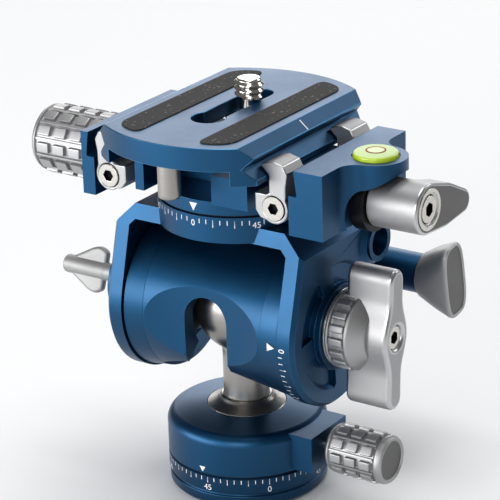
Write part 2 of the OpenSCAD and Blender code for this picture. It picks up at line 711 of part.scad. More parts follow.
// Coil spring about the clamp rod: rings of a square-ish section swept along a helix
module jaw_spring() {
  wire = 0.4;
  mean = (rod_r + spring_pocket) / 2 + 0.05;
  turns = 4;
  steps = 16;
  sides = 6;
  n = turns * steps;
  length = spring_len - 2 * wire - 0.2;
  x0 = -bar_in + 0.1 + wire;
  points = [
    for (i = [0:n]) for (k = [0:sides - 1])
      let (t = 360 * i / steps, c = 360 * k / sides, r = mean + wire * cos(c))
        [x0 + length * i / n + wire * sin(c), clamp_y + r * cos(t), rod_z + r * sin(t)]
  ];
  faces = [
    for (i = [0:n - 1]) for (k = [0:sides - 1])
      let (a = i * sides + k, b = i * sides + (k + 1) % sides)
        each [[a, b, b + sides], [a, b + sides, a + sides]],
    [for (k = [sides - 1:-1:0]) k],
    [for (k = [0:sides - 1]) n * sides + k]
  ];
  color(steel) polyhedron(points, faces);
}

// Claw profile in the XZ plane, drawn for the right side
module claw_outline() {
  lip_z = plate_z + lip_h;
  inner = lip_half + 0.3;
  polygon([
    [inner, claw_z - 1], [inner, lip_z + 0.1], [inner - 1.8, lip_z + 1.9], [inner - 1.5, lip_z + 2.5],
    [claw_x, clamp_top + 1.1], [claw_x + 2.3, clamp_top + 0.5], [jaw_half_gap - 0.3, clamp_top - 1.2],
    [jaw_half_gap - 0.8, claw_z + 4.8], [jaw_half_gap - 0.8, claw_z + 2.8],
    [claw_x + claw_lobe_r - 0.8, claw_z - 1]
  ]);
}
// Plate around the claw's screw, reaching under the camera plate
module claw_plate() translate([claw_x, claw_z]) polygon([
  [0, claw_lobe_r - 0.5], [-claw_lobe_r - 1.1, claw_lobe_r - 0.5], [-claw_lobe_r - 1.1, -0.9],
  [-claw_lobe_r, -2.4], [-1.2, 0.4 - claw_lobe_r]
]);
// One claw: side -1 left, 1 right; front true at the clamp's front end
module claw(side, front) color(silver) mirror([side < 0 ? 1 : 0, 0, 0]) {
  y0 = front ? clamp_y0 + 0.1 : bar_y1 + 0.25;
  y1 = y0 + claw_len;
  difference() {
    union() {
      slab_y(y0, y1) claw_outline();
      slab_y(y0, y1) claw_plate();
      cyl_y(claw_lobe_r, y0, y1, claw_x, claw_z);
    }
    cyl_y(claw_bolt_r + run, y0 - 1, y1 + 1, claw_x, claw_z);
    if (front) cyl_y(claw_head_r + 0.1, y0 - 1, y0 + claw_head_h - 0.2, claw_x, claw_z);
    else cyl_y(claw_head_r + 0.1, y1 - claw_head_h + 0.2, y1 + 1, claw_x, claw_z);
  }
}
module claw_left_front() claw(-1, true);
module claw_left_rear() claw(-1, false);
module claw_right_front() claw(1, true);
module claw_right_rear() claw(1, false);
module claw_screws(side) color(steel) {
  front = clamp_y0 + 0.1 + claw_head_h - 0.25;
  rear = bar_y1 + 0.25 + claw_len - claw_head_h + 0.25;
  cyl_y(claw_bolt_r, front, bar_y0 + 6, side * claw_x, claw_z);
  cyl_y(claw_bolt_r, bar_y1 - 6, rear, side * claw_x, claw_z);
  difference() {
    union() {
      cyl_y(claw_head_r, front - claw_head_h, front, side * claw_x, claw_z);
      cyl_y(claw_head_r, rear, rear + claw_head_h, side * claw_x, claw_z);
    }
    translate([side * claw_x, front - claw_head_h + 1.2, claw_z]) rotate([90, 0, 0]) hex_recess(1.25, 3);
    translate([side * claw_x, rear + claw_head_h - 1.2, claw_z]) rotate([-90, 0, 0]) hex_recess(1.25, 3);
  }
}
module claw_screws_left() claw_screws(-1);
module claw_screws_right() claw_screws(1);

// Camera plate
module plate_plan(inset) intersection() {
  translate([0, plate_y + end_c]) circle(end_r - inset, $fn = 128);
  translate([0, plate_y - end_c]) circle(end_r - inset, $fn = 128);
}
module plate_section() {
  half = [
    [lip_half, plate_z], [lip_half, plate_z + lip_h], [groove_in, plate_z + lip_h + lip_half - groove_in],
    [plate_half, plate_top - chamfer_h - 0.3], [plate_half, plate_top - chamfer_h], [top_half, plate_top]
  ];
  polygon(concat(
    [[lip_inner, plate_z]], half, [for (i = [len(half) - 1:-1:0]) [-half[i].x, half[i].y]],
    [[-lip_inner, plate_z], [-lip_inner, seat_z], [lip_inner, seat_z]]
  ));
}
module strip_plan(side) intersection() {
  plate_plan(2.4);
  translate([side > 0 ? strip_in : -strip_out, -far]) square([strip_out - strip_in, 2 * far]);
}
module screw_slot(half, z0, z1, y0, y1) {
  box([-half, y0, z0], [half, y1, z1]);
  cyl_z(half, z0, z1, 0, y0);
  cyl_z(half, z0, z1, 0, y1);
}
module pin_places() for (y = [plate_y - plate_len / 2 + pin_r + 2, plate_y + plate_len / 2 - pin_r - 2])
  translate([0, y, 0]) children();
module quick_release_plate() color(blue) difference() {
  intersection() {
    slab_y(-far, far) plate_section();
    linear_extrude(far * 2) plate_plan(0);
  }
  screw_slot(screw_slot_half, 0, far * 2, plate_y - 8.6, plate_y + 10.5);
  cyl_z(screw_slot_half + 0.85, 0, far * 2, 0, plate_y - 8.6);
  screw_slot(head_r + 0.5, 0, counter_z, plate_y - 8.6, plate_y + 10.5);
  for (s = [-1, 1]) translate([0, 0, plate_top - strip_deep]) linear_extrude(far) strip_plan(s);
  pin_places() cyl_z(pin_r, 0, seat_z + 3);
}
module rubber_strips() color(black) for (s = [-1, 1])
  translate([0, 0, plate_top - strip_deep]) linear_extrude(strip_deep + strip_rise) strip_plan(s);
module stop_pins() color(steel) pin_places() cyl_z(pin_r, seat_z - pin_len, seat_z + 3);
module screw_washer() color(steel) difference() {
  cyl_z(head_r + 0.2, counter_z - washer_t - 0.1, counter_z - 0.1, 0, screw_y);
  cyl_z(neck_r + run, 0, far * 2, 0, screw_y);
}
module camera_screw() color(steel) {
  head_z = counter_z - washer_t - 0.1 - face_gap;
  difference() {
    cyl_z(head_r, head_z - head_h, head_z, 0, screw_y);
    box([-far, screw_y - 0.7, 0], [far, screw_y + 0.7, head_z - head_h + 1]);
  }
  cyl_z(neck_r, head_z, thread_z, 0, screw_y);
  cyl_z(screw_r, thread_z, thread_z + screw_len, 0, screw_y);
}

base_foot();
base_scale_ring();
base_thrust_washer();
base_retainer();
base_drum();
base_brake_shoe();
base_lock_knob();
base_lock_stud();
stem_flange();
ball_stem();
ball_liner();
barrel();
barrel_cap_left();
barrel_cap_right();
ball_cup_left();
ball_cup_right();
ball_lock_plunger();
ball_lock_screw();
ball_lock_paddle();
yoke();
tilt_bush_left();
tilt_bush_right();
tilt_lock_washer();
tilt_lock_stud();
tilt_wing_knob();
tilt_knob_screw();
drag_pad();
drag_cap();
drag_screw();
pan_bearing_ring();
pan_friction_washer();
pan_platform();
pan_retainer();
clamp_body();
clamp_bolts();
level_vial();
cam_washer();
clamp_lever();
lever_ring();
lever_screw();
clamp_rod();
clamp_knob();
left_jaw();
jaw_guide_pin();
jaw_spring();
claw_left_front();
claw_left_rear();
claw_right_front();
claw_right_rear();
claw_screws_left();
claw_screws_right();
quick_release_plate();
rubber_strips();
stop_pins();
screw_washer();
camera_screw();
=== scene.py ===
"""Looks of a hybrid tripod head: blue anodised body, silver knobs and a camera plate.

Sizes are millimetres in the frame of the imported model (origin under the base,
X towards the levers, -Y to the front, Z up) and become metres once, in `make`.
"""

import json
import logging
import math
from contextlib import contextmanager
from dataclasses import dataclass
from enum import Enum
from functools import lru_cache
from typing import Any, Callable, Iterator, Sequence

import bmesh
import bpy
from mathutils import Matrix, Vector
from mathutils.geometry import convex_hull_2d

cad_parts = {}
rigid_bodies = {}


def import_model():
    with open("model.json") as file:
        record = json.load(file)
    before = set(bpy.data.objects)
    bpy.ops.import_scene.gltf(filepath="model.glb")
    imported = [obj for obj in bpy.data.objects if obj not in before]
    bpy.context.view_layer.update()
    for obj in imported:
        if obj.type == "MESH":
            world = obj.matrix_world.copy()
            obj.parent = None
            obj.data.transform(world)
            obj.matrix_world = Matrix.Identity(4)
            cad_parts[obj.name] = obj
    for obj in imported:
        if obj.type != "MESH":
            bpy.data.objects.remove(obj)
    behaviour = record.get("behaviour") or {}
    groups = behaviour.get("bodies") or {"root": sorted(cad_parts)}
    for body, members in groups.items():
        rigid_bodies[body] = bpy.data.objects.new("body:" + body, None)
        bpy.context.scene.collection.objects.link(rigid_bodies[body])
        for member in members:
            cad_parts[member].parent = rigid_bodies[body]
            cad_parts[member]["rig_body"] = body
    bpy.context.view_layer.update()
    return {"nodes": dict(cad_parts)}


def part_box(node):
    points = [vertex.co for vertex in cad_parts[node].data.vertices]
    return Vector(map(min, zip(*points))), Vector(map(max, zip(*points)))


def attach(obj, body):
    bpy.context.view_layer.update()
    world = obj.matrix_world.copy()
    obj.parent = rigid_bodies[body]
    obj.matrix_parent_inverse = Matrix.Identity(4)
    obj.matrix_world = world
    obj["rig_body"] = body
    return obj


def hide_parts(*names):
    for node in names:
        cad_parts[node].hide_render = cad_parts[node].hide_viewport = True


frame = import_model()

LOG = logging.getLogger("tripod_head")

Point2 = tuple[float, float]
Point3 = tuple[float, float, float]

MM = 0.001
ORIGIN: Point3 = (0.0, 0.0, 0.0)
# Points nearer than this are one, in metres: in a mesh made here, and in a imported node's copy.
MERGE = 1e-7
PACKED_MERGE = 2e-6
# Angles between faces, in degrees: an edge to round, an edge to keep sharp, a seam in a flat face.
ROUND_FROM = 32.0
SHARP_FROM = 40.0
SEAM_BELOW = 0.4
# Size of the clouds that vary a finish's gloss, in millimetres, and how strongly its grain shows.
CLOUD = 9.0
GRAIN_STRENGTH = 0.6
# Lathe rings are noise drawn out around the axis to this share of its scale.
RING_STRETCH = 0.02
# Where a fleck of the rubber starts and is full, as shares of its random value.
FLECK_EDGE = (0.86, 0.95)
# Index of the clear skin over a finish, which is mostly the oxide of an anodised face.
COAT_IOR = 1.65


class Axis(Enum):
    """Frames to turn a shape in: local X points to the front, local Z is the axis."""

    UP = Matrix(((0, 1, 0), (-1, 0, 0), (0, 0, 1)))
    TILT = Matrix(((0, 0, 1), (-1, 0, 0), (0, -1, 0)))

    def place(self, point: Point3, centre: Point3) -> Vector:
        """Returns the place of a local point, in millimetres."""
        return self.value @ Vector(point) + Vector(centre)


class Surface(Enum):
    """How a finish was made, which sets its pattern."""

    BLASTED = "blasted"
    TURNED_Z = "turned about the upright axis"
    SPECKLED = "speckled"


def linear(colour: str) -> tuple[float, float, float, float]:
    """Turns an sRGB hex colour to linear light.

    Args:
        colour: six hex digits after a hash sign.

    Returns:
        Linear red, green and blue, and an alpha of 1.
    """
    parts = [int(colour[i:i + 2], 16) / 255 for i in (1, 3, 5)]
    light = [c / 12.92 if c <= 0.04045 else ((c + 0.055) / 1.055) ** 2.4 for c in parts]
    return (light[0], light[1], light[2], 1.0)


def add_node(
    tree: bpy.types.NodeTree,
    kind: str,
    settings: dict[str, Any] | None = None,
    inputs: dict[str | int, Any] | None = None,
) -> bpy.types.Node:
    """Adds a node with its settings and its inputs.

    Args:
        tree: the tree that takes the node.
        kind: the node's type name.
        settings: properties of the node.
        inputs: values, or sockets to link from, by input name or number.

    Returns:
        The new node.
    """
    node = tree.nodes.new(kind)
    for key, value in (settings or {}).items():
        setattr(node, key, value)
    for key, value in (inputs or {}).items():
        if isinstance(value, bpy.types.NodeSocket):
            tree.links.new(value, node.inputs[key])
        else:
            node.inputs[key].default_value = value
    return node


@dataclass(frozen=True)
class Finish:
    """One real finish and the values that give its look."""

    name: str
    colour: str
    deep: str
    slot: str
    metallic: float = 1.0
    roughness: float = 0.35
    spread: float = 0.08
    grain: float = 0.4
    bump: float = 0.01
    coat: float = 0.0
    coat_roughness: float = 0.3
    surface: Surface = Surface.BLASTED

    @lru_cache(maxsize=None)
    def material(self) -> bpy.types.Material:
        """Returns the finish as a node material, made once."""
        material = bpy.data.materials.new(self.name)
        material.use_nodes = True
        tree = material.node_tree
        tree.nodes.clear()
        place = add_node(tree, "ShaderNodeTexCoord").outputs["Object"]
        grain = self.pattern(tree, place)
        cloud = add_node(tree, "ShaderNodeTexNoise", None,
                         {"Vector": place, "Scale": 1 / (CLOUD * MM), "Detail": 3.0}).outputs["Fac"]
        both = add_node(tree, "ShaderNodeMath", {"operation": "MULTIPLY"}, {0: grain, 1: cloud})
        tint = add_node(tree, "ShaderNodeMix", {"data_type": "RGBA"},
                        {"Factor": grain, 6: linear(self.deep), 7: linear(self.colour)})
        rough = add_node(tree, "ShaderNodeMapRange", None, {
            "Value": both.outputs[0], "From Max": 0.5,
            "To Min": self.roughness - self.spread, "To Max": self.roughness + self.spread})
        bump = add_node(tree, "ShaderNodeBump", None,
                        {"Strength": GRAIN_STRENGTH, "Distance": self.bump * MM, "Height": grain})
        shader = add_node(tree, "ShaderNodeBsdfPrincipled", None, {
            "Base Color": tint.outputs[2], "Metallic": self.metallic,
            "Roughness": rough.outputs[0], "Normal": bump.outputs[0],
            "Coat Weight": self.coat, "Coat Roughness": self.coat_roughness, "Coat IOR": COAT_IOR})
        add_node(tree, "ShaderNodeOutputMaterial", None, {"Surface": shader.outputs[0]})
        return material

    def pattern(self, tree: bpy.types.NodeTree, place: bpy.types.NodeSocket) -> bpy.types.NodeSocket:
        """Adds the nodes of the surface's pattern.

        Args:
            tree: the material's tree.
            place: the Object coordinates.

        Returns:
            The socket that carries the pattern, from 0 to 1.
        """
        if self.surface is Surface.SPECKLED:
            flecks = add_node(tree, "ShaderNodeTexVoronoi", None,
                              {"Vector": place, "Scale": 1 / (self.grain * MM)})
            ramp = add_node(tree, "ShaderNodeValToRGB", None, {"Fac": flecks.outputs["Color"]})
            for stop, position in zip(ramp.color_ramp.elements, FLECK_EDGE):
                stop.position = position
            return ramp.outputs["Color"]
        across = RING_STRETCH if self.surface is Surface.TURNED_Z else 1.0
        mapped = add_node(tree, "ShaderNodeMapping", None,
                          {"Vector": place, "Scale": (across, across, 1.0)})
        noise = add_node(tree, "ShaderNodeTexNoise", None, {
            "Vector": mapped.outputs[0], "Scale": 1 / (self.grain * MM), "Detail": 2.0})
        return noise.outputs["Fac"]


# Bead blasted, blue dyed anodised aluminium: a tinted metal with a soft, fine sheen.
BLUE = Finish("blue_anodised_aluminium", "#12496f", "#0f4062", "blue_anodised", roughness=0.45,
              coat=0.2)
# Its chamfers are cut after blasting, so they are smoother; their lighter colour is a painted
# highlight.
BLUE_RIM_HIGHLIGHT = Finish("cut_edge_blue_painted_highlight", "#4184b2", "#3878a5", "blue_anodised", roughness=0.34,
                  spread=0.04, coat=0.2)
# Turned blue aluminium keeps faint lathe rings, drawn at 0.5 mm so that they show.
BLUE_TURNED = Finish("turned_blue_aluminium", "#114265", "#0e3957", "blue_anodised",
                     roughness=0.4, grain=0.5, coat=0.2, surface=Surface.TURNED_Z)
# Clear anodised aluminium, bead blasted: a pale grey metal with a wide, soft highlight.
SILVER = Finish("satin_silver_aluminium", "#b0b0b1", "#a6a6a7", "satin_silver", roughness=0.52)
# Cut silver edges are smoother than the blasted faces; their lighter colour is a painted highlight.
SILVER_RIM_HIGHLIGHT = Finish("cut_edge_silver_painted_highlight", "#c4c5c6", "#babbbd", "satin_silver",
                    roughness=0.32, spread=0.04)
# Painted shade: silver faces that stand in the shade of their rim, painted a darker grey.
SHADED_SILVER = Finish("silver_painted_shade", "#6b6b6a", "#616160", "satin_silver", roughness=0.42)
# Ground stainless steel of the stem, its flange and the stop pins: fine rings about the axis.
STEEL = Finish("ground_stainless_steel", "#a3a09c", "#9b9894", "steel", roughness=0.32,
               spread=0.04, grain=0.45, bump=0.003, surface=Surface.TURNED_Z)
# Tumbled zinc of the drag screw: duller than the satin silver.
TUMBLED = Finish("tumbled_zinc", "#aaaaaa", "#a0a0a0", "satin_silver", roughness=0.62)
# Nickel plated steel: bright and slightly warm, a little dulled by handling.
# On the stem flange's rounded edges it is a painted highlight.
NICKEL = Finish("nickel_plated_steel", "#d2cfc9", "#c8c5bf", "polished_steel", roughness=0.26,
                spread=0.04, bump=0.002)
# Polished nickel of the camera screw: it mirrors what stands around it.
MIRROR = Finish("polished_nickel", "#d8d5cf", "#d0cdc7", "polished_steel", roughness=0.12,
                spread=0.02, bump=0.001)
# Blackened steel of the cam's washer: oiled and nearly matt. In the screws' sockets the same dark
# finish is painted shade.
BLACK_STEEL_AND_SOCKET_SHADE = Finish("blackened_steel_and_socket_shade", "#2c2d2f", "#242527", "polished_steel", roughness=0.4)
# Black acetal of the washers, the ball's cups and liner and the level's cup: waxy, no metal.
BLACK_ACETAL = Finish("moulded_black_acetal", "#26282b", "#1f2124", "bearing_plastic",
                      metallic=0.0, roughness=0.45)
# Sintered bronze of the bushes and brake shoes: brown yellow, slightly porous.
BRONZE = Finish("sintered_bronze", "#a57c4a", "#8a6439", "bronze", roughness=0.45)
# Cork rubber grip: dark grey rubber with pale flecks of about 0.4 mm.
RUBBER = Finish("flecked_grip_rubber", "#7d7a74", "#1a1a1b", "grip_rubber", metallic=0.0,
                roughness=0.9, bump=0.05, surface=Surface.SPECKLED)
# Paint in the laser marked scales: matt white, without metal.
WHITE_PAINT = Finish("white_marking_paint", "#e8ebee", "#dfe3e7", "blue_anodised", metallic=0.0,
                     roughness=0.6)
# Dyed spirit behind clear acrylic: lime green, under a glossy coat.
LEVEL_GREEN = Finish("dyed_level_spirit", "#c4e02e", "#b8d524", "level_green", metallic=0.0,
                     roughness=0.25, spread=0.04, bump=0.002, coat=0.4, coat_roughness=0.1)
# The same spirit seen through the thin top of the vial, so paler.
LEVEL_TOP = Finish("pale_level_spirit", "#c6dc9c", "#c0d692", "level_green", metallic=0.0,
                   roughness=0.5, spread=0.04, bump=0.002)
# Printed target circle of the level.
LEVEL_RED = Finish("red_brown_level_print", "#8e2f22", "#842a1e", "level_green", metallic=0.0,
                   roughness=0.6, spread=0.04, bump=0.002)
# The air bubble shows as a paler lens in the spirit.
LEVEL_BUBBLE = Finish("level_air_bubble", "#dbe6bc", "#d5e1b4", "level_green", metallic=0.0,
                      roughness=0.5, spread=0.04, bump=0.002)


def add_object(name: str, data: bpy.types.ID) -> bpy.types.Object:
    """Returns a new object of the scene that shows the data."""
    item = bpy.data.objects.new(name, data)
    bpy.context.scene.collection.objects.link(item)
    return item


def paint(item: bpy.types.Object, *finishes: Finish) -> bpy.types.Object:
    """Adds finishes to an object's material slots.

    Args:
        item: the object.
        finishes: the finishes, in the order of the slots.

    Returns:
        The same object.
    """
    for finish in finishes:
        item.data.materials.append(finish.material())
    return item


@contextmanager
def edited(mesh: bpy.types.Mesh) -> Iterator[bmesh.types.BMesh]:
    """Opens a mesh for changes and writes them back.

    Args:
        mesh: the mesh.

    Yields:
        The mesh to change, in metres.
    """
    solid = bmesh.new()
    solid.from_mesh(mesh)
    yield solid
    solid.to_mesh(mesh)
    solid.free()


def make(
    name: str, points: Sequence[Vector | Point3], faces: Sequence[Sequence[int]],
) -> bpy.types.Object:
    """Makes an object from points in millimetres, with its faces turned outwards.

    Args:
        name: the object's name.
        points: the mesh's points, in millimetres.
        faces: the point numbers of each face.

    Returns:
        The object, at the origin, with its place in its mesh.
    """
    mesh = bpy.data.meshes.new(name)
    mesh.from_pydata([Vector(point) * MM for point in points], [], faces)
    with edited(mesh) as solid:
        bmesh.ops.remove_doubles(solid, verts=solid.verts, dist=MERGE)
        bmesh.ops.recalc_face_normals(solid, faces=solid.faces)
    return add_object(name, mesh)


def plain_mesh(item: bpy.types.Object) -> bpy.types.Mesh:
    """Returns an object's evaluated shape as a mesh of its own."""
    graph = bpy.context.evaluated_depsgraph_get()
    return bpy.data.meshes.new_from_object(
        item.evaluated_get(graph), preserve_all_data_layers=True, depsgraph=graph)


def settle(item: bpy.types.Object) -> bpy.types.Object:
    """Turns an object's modifiers into plain mesh.

    Args:
        item: the object with its modifiers.

    Returns:
        The same object with the evaluated mesh and no modifiers.
    """
    mesh = plain_mesh(item)
    item.modifiers.clear()
    item.data = mesh
    return item


def shade(item: bpy.types.Object, bevel: float = 0.0, steps: int = 2) -> bpy.types.Object:
    """Rounds an object's edges and gives it weighted normals.

    Args:
        item: the object, with merged points.
        bevel: width of the rounded edges, in millimetres; none where 0.
        steps: segments across a rounded edge.

    Returns:
        The same object, as plain mesh.
    """
    for face in item.data.polygons:
        face.use_smooth = True
    if bevel:
        edge = item.modifiers.new("edges", "BEVEL")
        edge.width = bevel * MM
        edge.segments = steps
        edge.limit_method = "ANGLE"
        edge.angle_limit = math.radians(ROUND_FROM)
        # The rounded edges take the last finish; where that is a lighter rim finish, it is a painted
        # highlight.
        edge.material = len(item.data.materials) - 1
    else:
        item.data.set_sharp_from_angle(angle=math.radians(SHARP_FROM))
    normals = item.modifiers.new("normals", "WEIGHTED_NORMAL")
    normals.keep_sharp = True
    return settle(item)


def fit(item: bpy.types.Object, body: str, slot: str, *nodes: str) -> bpy.types.Object:
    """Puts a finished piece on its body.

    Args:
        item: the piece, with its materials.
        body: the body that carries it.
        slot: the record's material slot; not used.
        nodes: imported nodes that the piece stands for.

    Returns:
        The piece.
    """
    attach(item, body)
    if nodes:
        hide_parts(*nodes)
    LOG.info("%s rides on %s and stands for %s", item.name, body, ", ".join(nodes) or "no node")
    return item


def body_of(node: str) -> str:
    """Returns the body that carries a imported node."""
    return frame["nodes"][node]["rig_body"]


def softened(
    node: str,
    finish: Finish,
    rim: Finish | None = None,
    bevel: float = 0.3,
    edit: Callable[[bmesh.types.BMesh], None] | None = None,
    crisp: float = ROUND_FROM,
) -> bpy.types.Object:
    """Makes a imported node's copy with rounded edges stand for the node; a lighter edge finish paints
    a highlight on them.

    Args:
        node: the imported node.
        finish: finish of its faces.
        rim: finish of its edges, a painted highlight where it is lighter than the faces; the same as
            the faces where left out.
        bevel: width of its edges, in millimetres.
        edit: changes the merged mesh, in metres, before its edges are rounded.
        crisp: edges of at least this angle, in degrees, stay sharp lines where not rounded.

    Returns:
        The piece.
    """
    item = add_object(node + "_dressed", frame["nodes"][node].data.copy())
    item.data.materials.clear()
    with edited(item.data) as solid:
        bmesh.ops.remove_doubles(solid, verts=solid.verts, dist=PACKED_MERGE)
        bmesh.ops.dissolve_limit(solid, angle_limit=math.radians(SEAM_BELOW), verts=solid.verts,
                                 edges=solid.edges)
        if edit:
            edit(solid)
        for edge in solid.edges:
            edge.smooth = edge.calc_face_angle(0.0) < math.radians(crisp)
    paint(item, finish, rim or finish)
    for face in item.data.polygons:
        face.material_index = 0
    return fit(shade(item, bevel), body_of(node), finish.slot, node)


def socket_screws(node: str, along: Point3, radius: float, bevel: float) -> None:
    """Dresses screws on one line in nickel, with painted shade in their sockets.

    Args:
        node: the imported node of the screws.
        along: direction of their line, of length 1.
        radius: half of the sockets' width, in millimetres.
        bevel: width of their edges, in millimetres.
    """
    item = paint(softened(node, NICKEL, bevel=bevel), BLACK_STEEL_AND_SOCKET_SHADE)
    spots = [vertex.co for vertex in item.data.vertices]
    middle = (Vector(map(min, zip(*spots))) + Vector(map(max, zip(*spots)))) / 2
    # Faces in the sockets, near the screws' axis, take the last finish as painted shade.
    for face in item.data.polygons:
        reach = max((spots[index] - middle).cross(Vector(along)).length for index in face.vertices)
        if reach < radius * MM:
            face.material_index = len(item.data.materials) - 1


def dress(finish: Finish, *nodes: str) -> None:
    """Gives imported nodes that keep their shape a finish.

    Args:
        finish: the finish.
        nodes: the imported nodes.
    """
    for node in nodes:
        item = frame["nodes"][node]
        item.data.materials.clear()
        paint(item, finish)
        LOG.info("%s keeps its shape in %s", node, finish.name)


def circle(count: int) -> list[Point2]:
    """Returns the cosine and sine of equal steps around a turn."""
    turns = [2 * math.pi * i / count for i in range(count)]
    return [(math.cos(turn), math.sin(turn)) for turn in turns]


def swung(outline: Sequence[Point2], degrees: float, centre: Point2) -> list[Point2]:
    """Returns an outline turned about its zero point and then moved to a centre."""
    c = math.cos(math.radians(degrees))
    s = math.sin(math.radians(degrees))
    return [(a * c - b * s + centre[0], a * s + b * c + centre[1]) for a, b in outline]


def rounded(outline: Sequence[Point2], radius: float, steps: int = 4) -> list[Point2]:
    """Rounds the inner corners of a profile's line.

    Args:
        outline: the profile's corners.
        radius: radius of the rounding, less where a side is short.
        steps: points along each corner, less one.

    Returns:
        The profile with its corners as arcs; its two ends stay.
    """
    result = [outline[0]]
    for before, corner, after in zip(outline, outline[1:], outline[2:]):
        middle = Vector(corner)
        back = Vector(before) - middle
        ahead = Vector(after) - middle
        # A little less than half of each side, so that two arcs never meet.
        reach = min(radius, back.length / 2.1, ahead.length / 2.1)
        start = middle + back.normalized() * reach
        end = middle + ahead.normalized() * reach
        for i in range(steps + 1):
            t = i / steps
            p = start * (1 - t) ** 2 + middle * (2 * t * (1 - t)) + end * t ** 2
            result.append((p.x, p.y))
    result.append(outline[-1])
    return result


def lathe(
    name: str,
    outline: Sequence[Point2],
    axis: Axis,
    centre: Point3 = ORIGIN,
    segments: int = 96,
) -> bpy.types.Object:
    """Turns a profile about an axis.

    Args:
        name: the object's name.
        outline: corners as radius and place along the axis; open from pole to pole
            where both ends lie on the axis, otherwise a closed ring.
        axis: the axis to turn about.
        centre: a point of that axis.
        segments: steps around the axis.

    Returns:
        The turned object.
    """
    count = len(outline)
    ring = outline[0][0] > 0 or outline[-1][0] > 0
    points = [axis.place((r * c, r * s, z), centre) for c, s in circle(segments) for r, z in outline]
    faces = []
    for i in range(segments):
        here = i * count
        there = ((i + 1) % segments) * count
        for k in range(count if ring else count - 1):
            n = (k + 1) % count
            faces.append((here + k, there + k, there + n, here + n))
    item = make(name, points, faces)
    with edited(item.data) as solid:
        bmesh.ops.dissolve_degenerate(solid, dist=MERGE, edges=solid.edges)
        bmesh.ops.recalc_face_normals(solid, faces=solid.faces)
    return item


def turned(name: str, outline: Sequence[Point2], finish: Finish, node: str) -> None:
    """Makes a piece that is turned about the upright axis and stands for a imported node.

    Args:
        name: the piece's name.
        outline: its profile, as for `lathe`.
        finish: its finish.
        node: the node that it stands for.
    """
    item = paint(lathe(name, outline, Axis.UP), finish)
    fit(shade(item), body_of(node), finish.slot, node)


def prism(
    name: str, outline: Sequence[Point2], low: float, high: float, upright: bool = False,
) -> bpy.types.Object:
    """Makes a prism along X, or along Z where it stands upright.

    Args:
        name: the object's name.
        outline: corners as Y and Z, or as X and Y where it stands upright.
        low: its first end.
        high: its second end.
        upright: whether it stands along Z.

    Returns:
        The prism.
    """
    count = len(outline)
    points = [(a, b, end) if upright else (end, a, b) for end in (low, high) for a, b in outline]
    faces = [tuple(range(count)), tuple(range(count, 2 * count))]
    faces += [(i, (i + 1) % count, count + (i + 1) % count, count + i) for i in range(count)]
    return make(name, points, faces)


def block(name: str, size: Point3, centre: Point3, bevel: float) -> bpy.types.Object:
    """Makes a small block with rounded edges, to be repeated.

    Args:
        name: the object's name.
        size: its sides.
        centre: its middle.
        bevel: width of its rounded edges.

    Returns:
        The block.
    """
    half = Vector(size) / 2
    corners = [Vector((x, y, z)) for x in (-1, 1) for y in (-1, 1) for z in (-1, 1)]
    points = [Vector(centre) + Vector(a * b for a, b in zip(corner, half)) for corner in corners]
    faces = [(0, 1, 3, 2), (4, 6, 7, 5), (0, 4, 5, 1), (2, 3, 7, 6), (0, 2, 6, 4), (1, 5, 7, 3)]
    item = make(name, points, faces)
    edge = item.modifiers.new("edges", "BEVEL")
    edge.width = bevel * MM
    edge.segments = 2
    return settle(item)


def drill(
    item: bpy.types.Object, radius: float, x0: float, x1: float, centre: Point3,
) -> bpy.types.Object:
    """Bores a round hole along X.

    Args:
        item: the object to bore.
        radius: radius of the hole.
        x0: its first end.
        x1: its second end.
        centre: a point of its axis.

    Returns:
        The same object with the hole.
    """
    bit = lathe("bit", [(0, x0), (radius, x0), (radius, x1), (0, x1)], Axis.TILT, centre)
    cut = item.modifiers.new("bore", "BOOLEAN")
    cut.object = bit
    settle(item)
    bpy.data.objects.remove(bit)
    return item


def join(name: str, *items: bpy.types.Object) -> bpy.types.Object:
    """Joins objects at the origin into one, with their materials.

    Args:
        name: the new object's name.
        items: the objects, which are removed.

    Returns:
        The joined object.
    """
    with bpy.context.temp_override(
        active_object=items[0], object=items[0],
        selected_objects=list(items), selected_editable_objects=list(items),
    ):
        bpy.ops.object.join()
    items[0].name = name
    return items[0]


class NodeShape:
    """A Geometry Nodes tree with named inputs, run once on an object."""

    def __init__(self, name: str, inputs: dict[str, str]) -> None:
        """Makes the tree with its sockets.

        Args:
            name: the tree's name.
            inputs: socket type by input name.
        """
        self.tree = bpy.data.node_groups.new(name, "GeometryNodeTree")
        sockets = self.tree.interface
        sockets.new_socket("Geometry", in_out="INPUT", socket_type="NodeSocketGeometry")
        self.keys = {
            label: sockets.new_socket(label, in_out="INPUT", socket_type=kind).identifier
            for label, kind in inputs.items()
        }
        sockets.new_socket("Geometry", in_out="OUTPUT", socket_type="NodeSocketGeometry")
        self.given = add_node(self.tree, "NodeGroupInput").outputs

    def math(self, operation: str, first: Any, second: Any = 0.0) -> bpy.types.NodeSocket:
        """Returns the result of a Math node on two values or sockets."""
        node = add_node(self.tree, "ShaderNodeMath", {"operation": operation}, {0: first, 1: second})
        return node.outputs[0]

    def close(self, geometry: bpy.types.NodeSocket) -> None:
        """Ends the tree in real geometry with the Material input on it.

        Args:
            geometry: the socket that carries the shape.
        """
        real = add_node(self.tree, "GeometryNodeRealizeInstances", None, {"Geometry": geometry})
        dressed = add_node(self.tree, "GeometryNodeSetMaterial", None,
                           {"Geometry": real.outputs[0], "Material": self.given["Material"]})
        add_node(self.tree, "NodeGroupOutput", None, {"Geometry": dressed.outputs[0]})

    def run(self, item: bpy.types.Object, **values: Any) -> bpy.types.Object:
        """Runs the tree on an object.

        Args:
            item: the object whose mesh goes in.
            values: input values, with underscores for spaces in their names.

        Returns:
            The same object with the result as plain mesh.
        """
        step = item.modifiers.new(self.tree.name, "NODES")
        step.node_group = self.tree
        for label, value in values.items():
            step[self.keys[label.replace("_", " ")]] = value
        return settle(item)


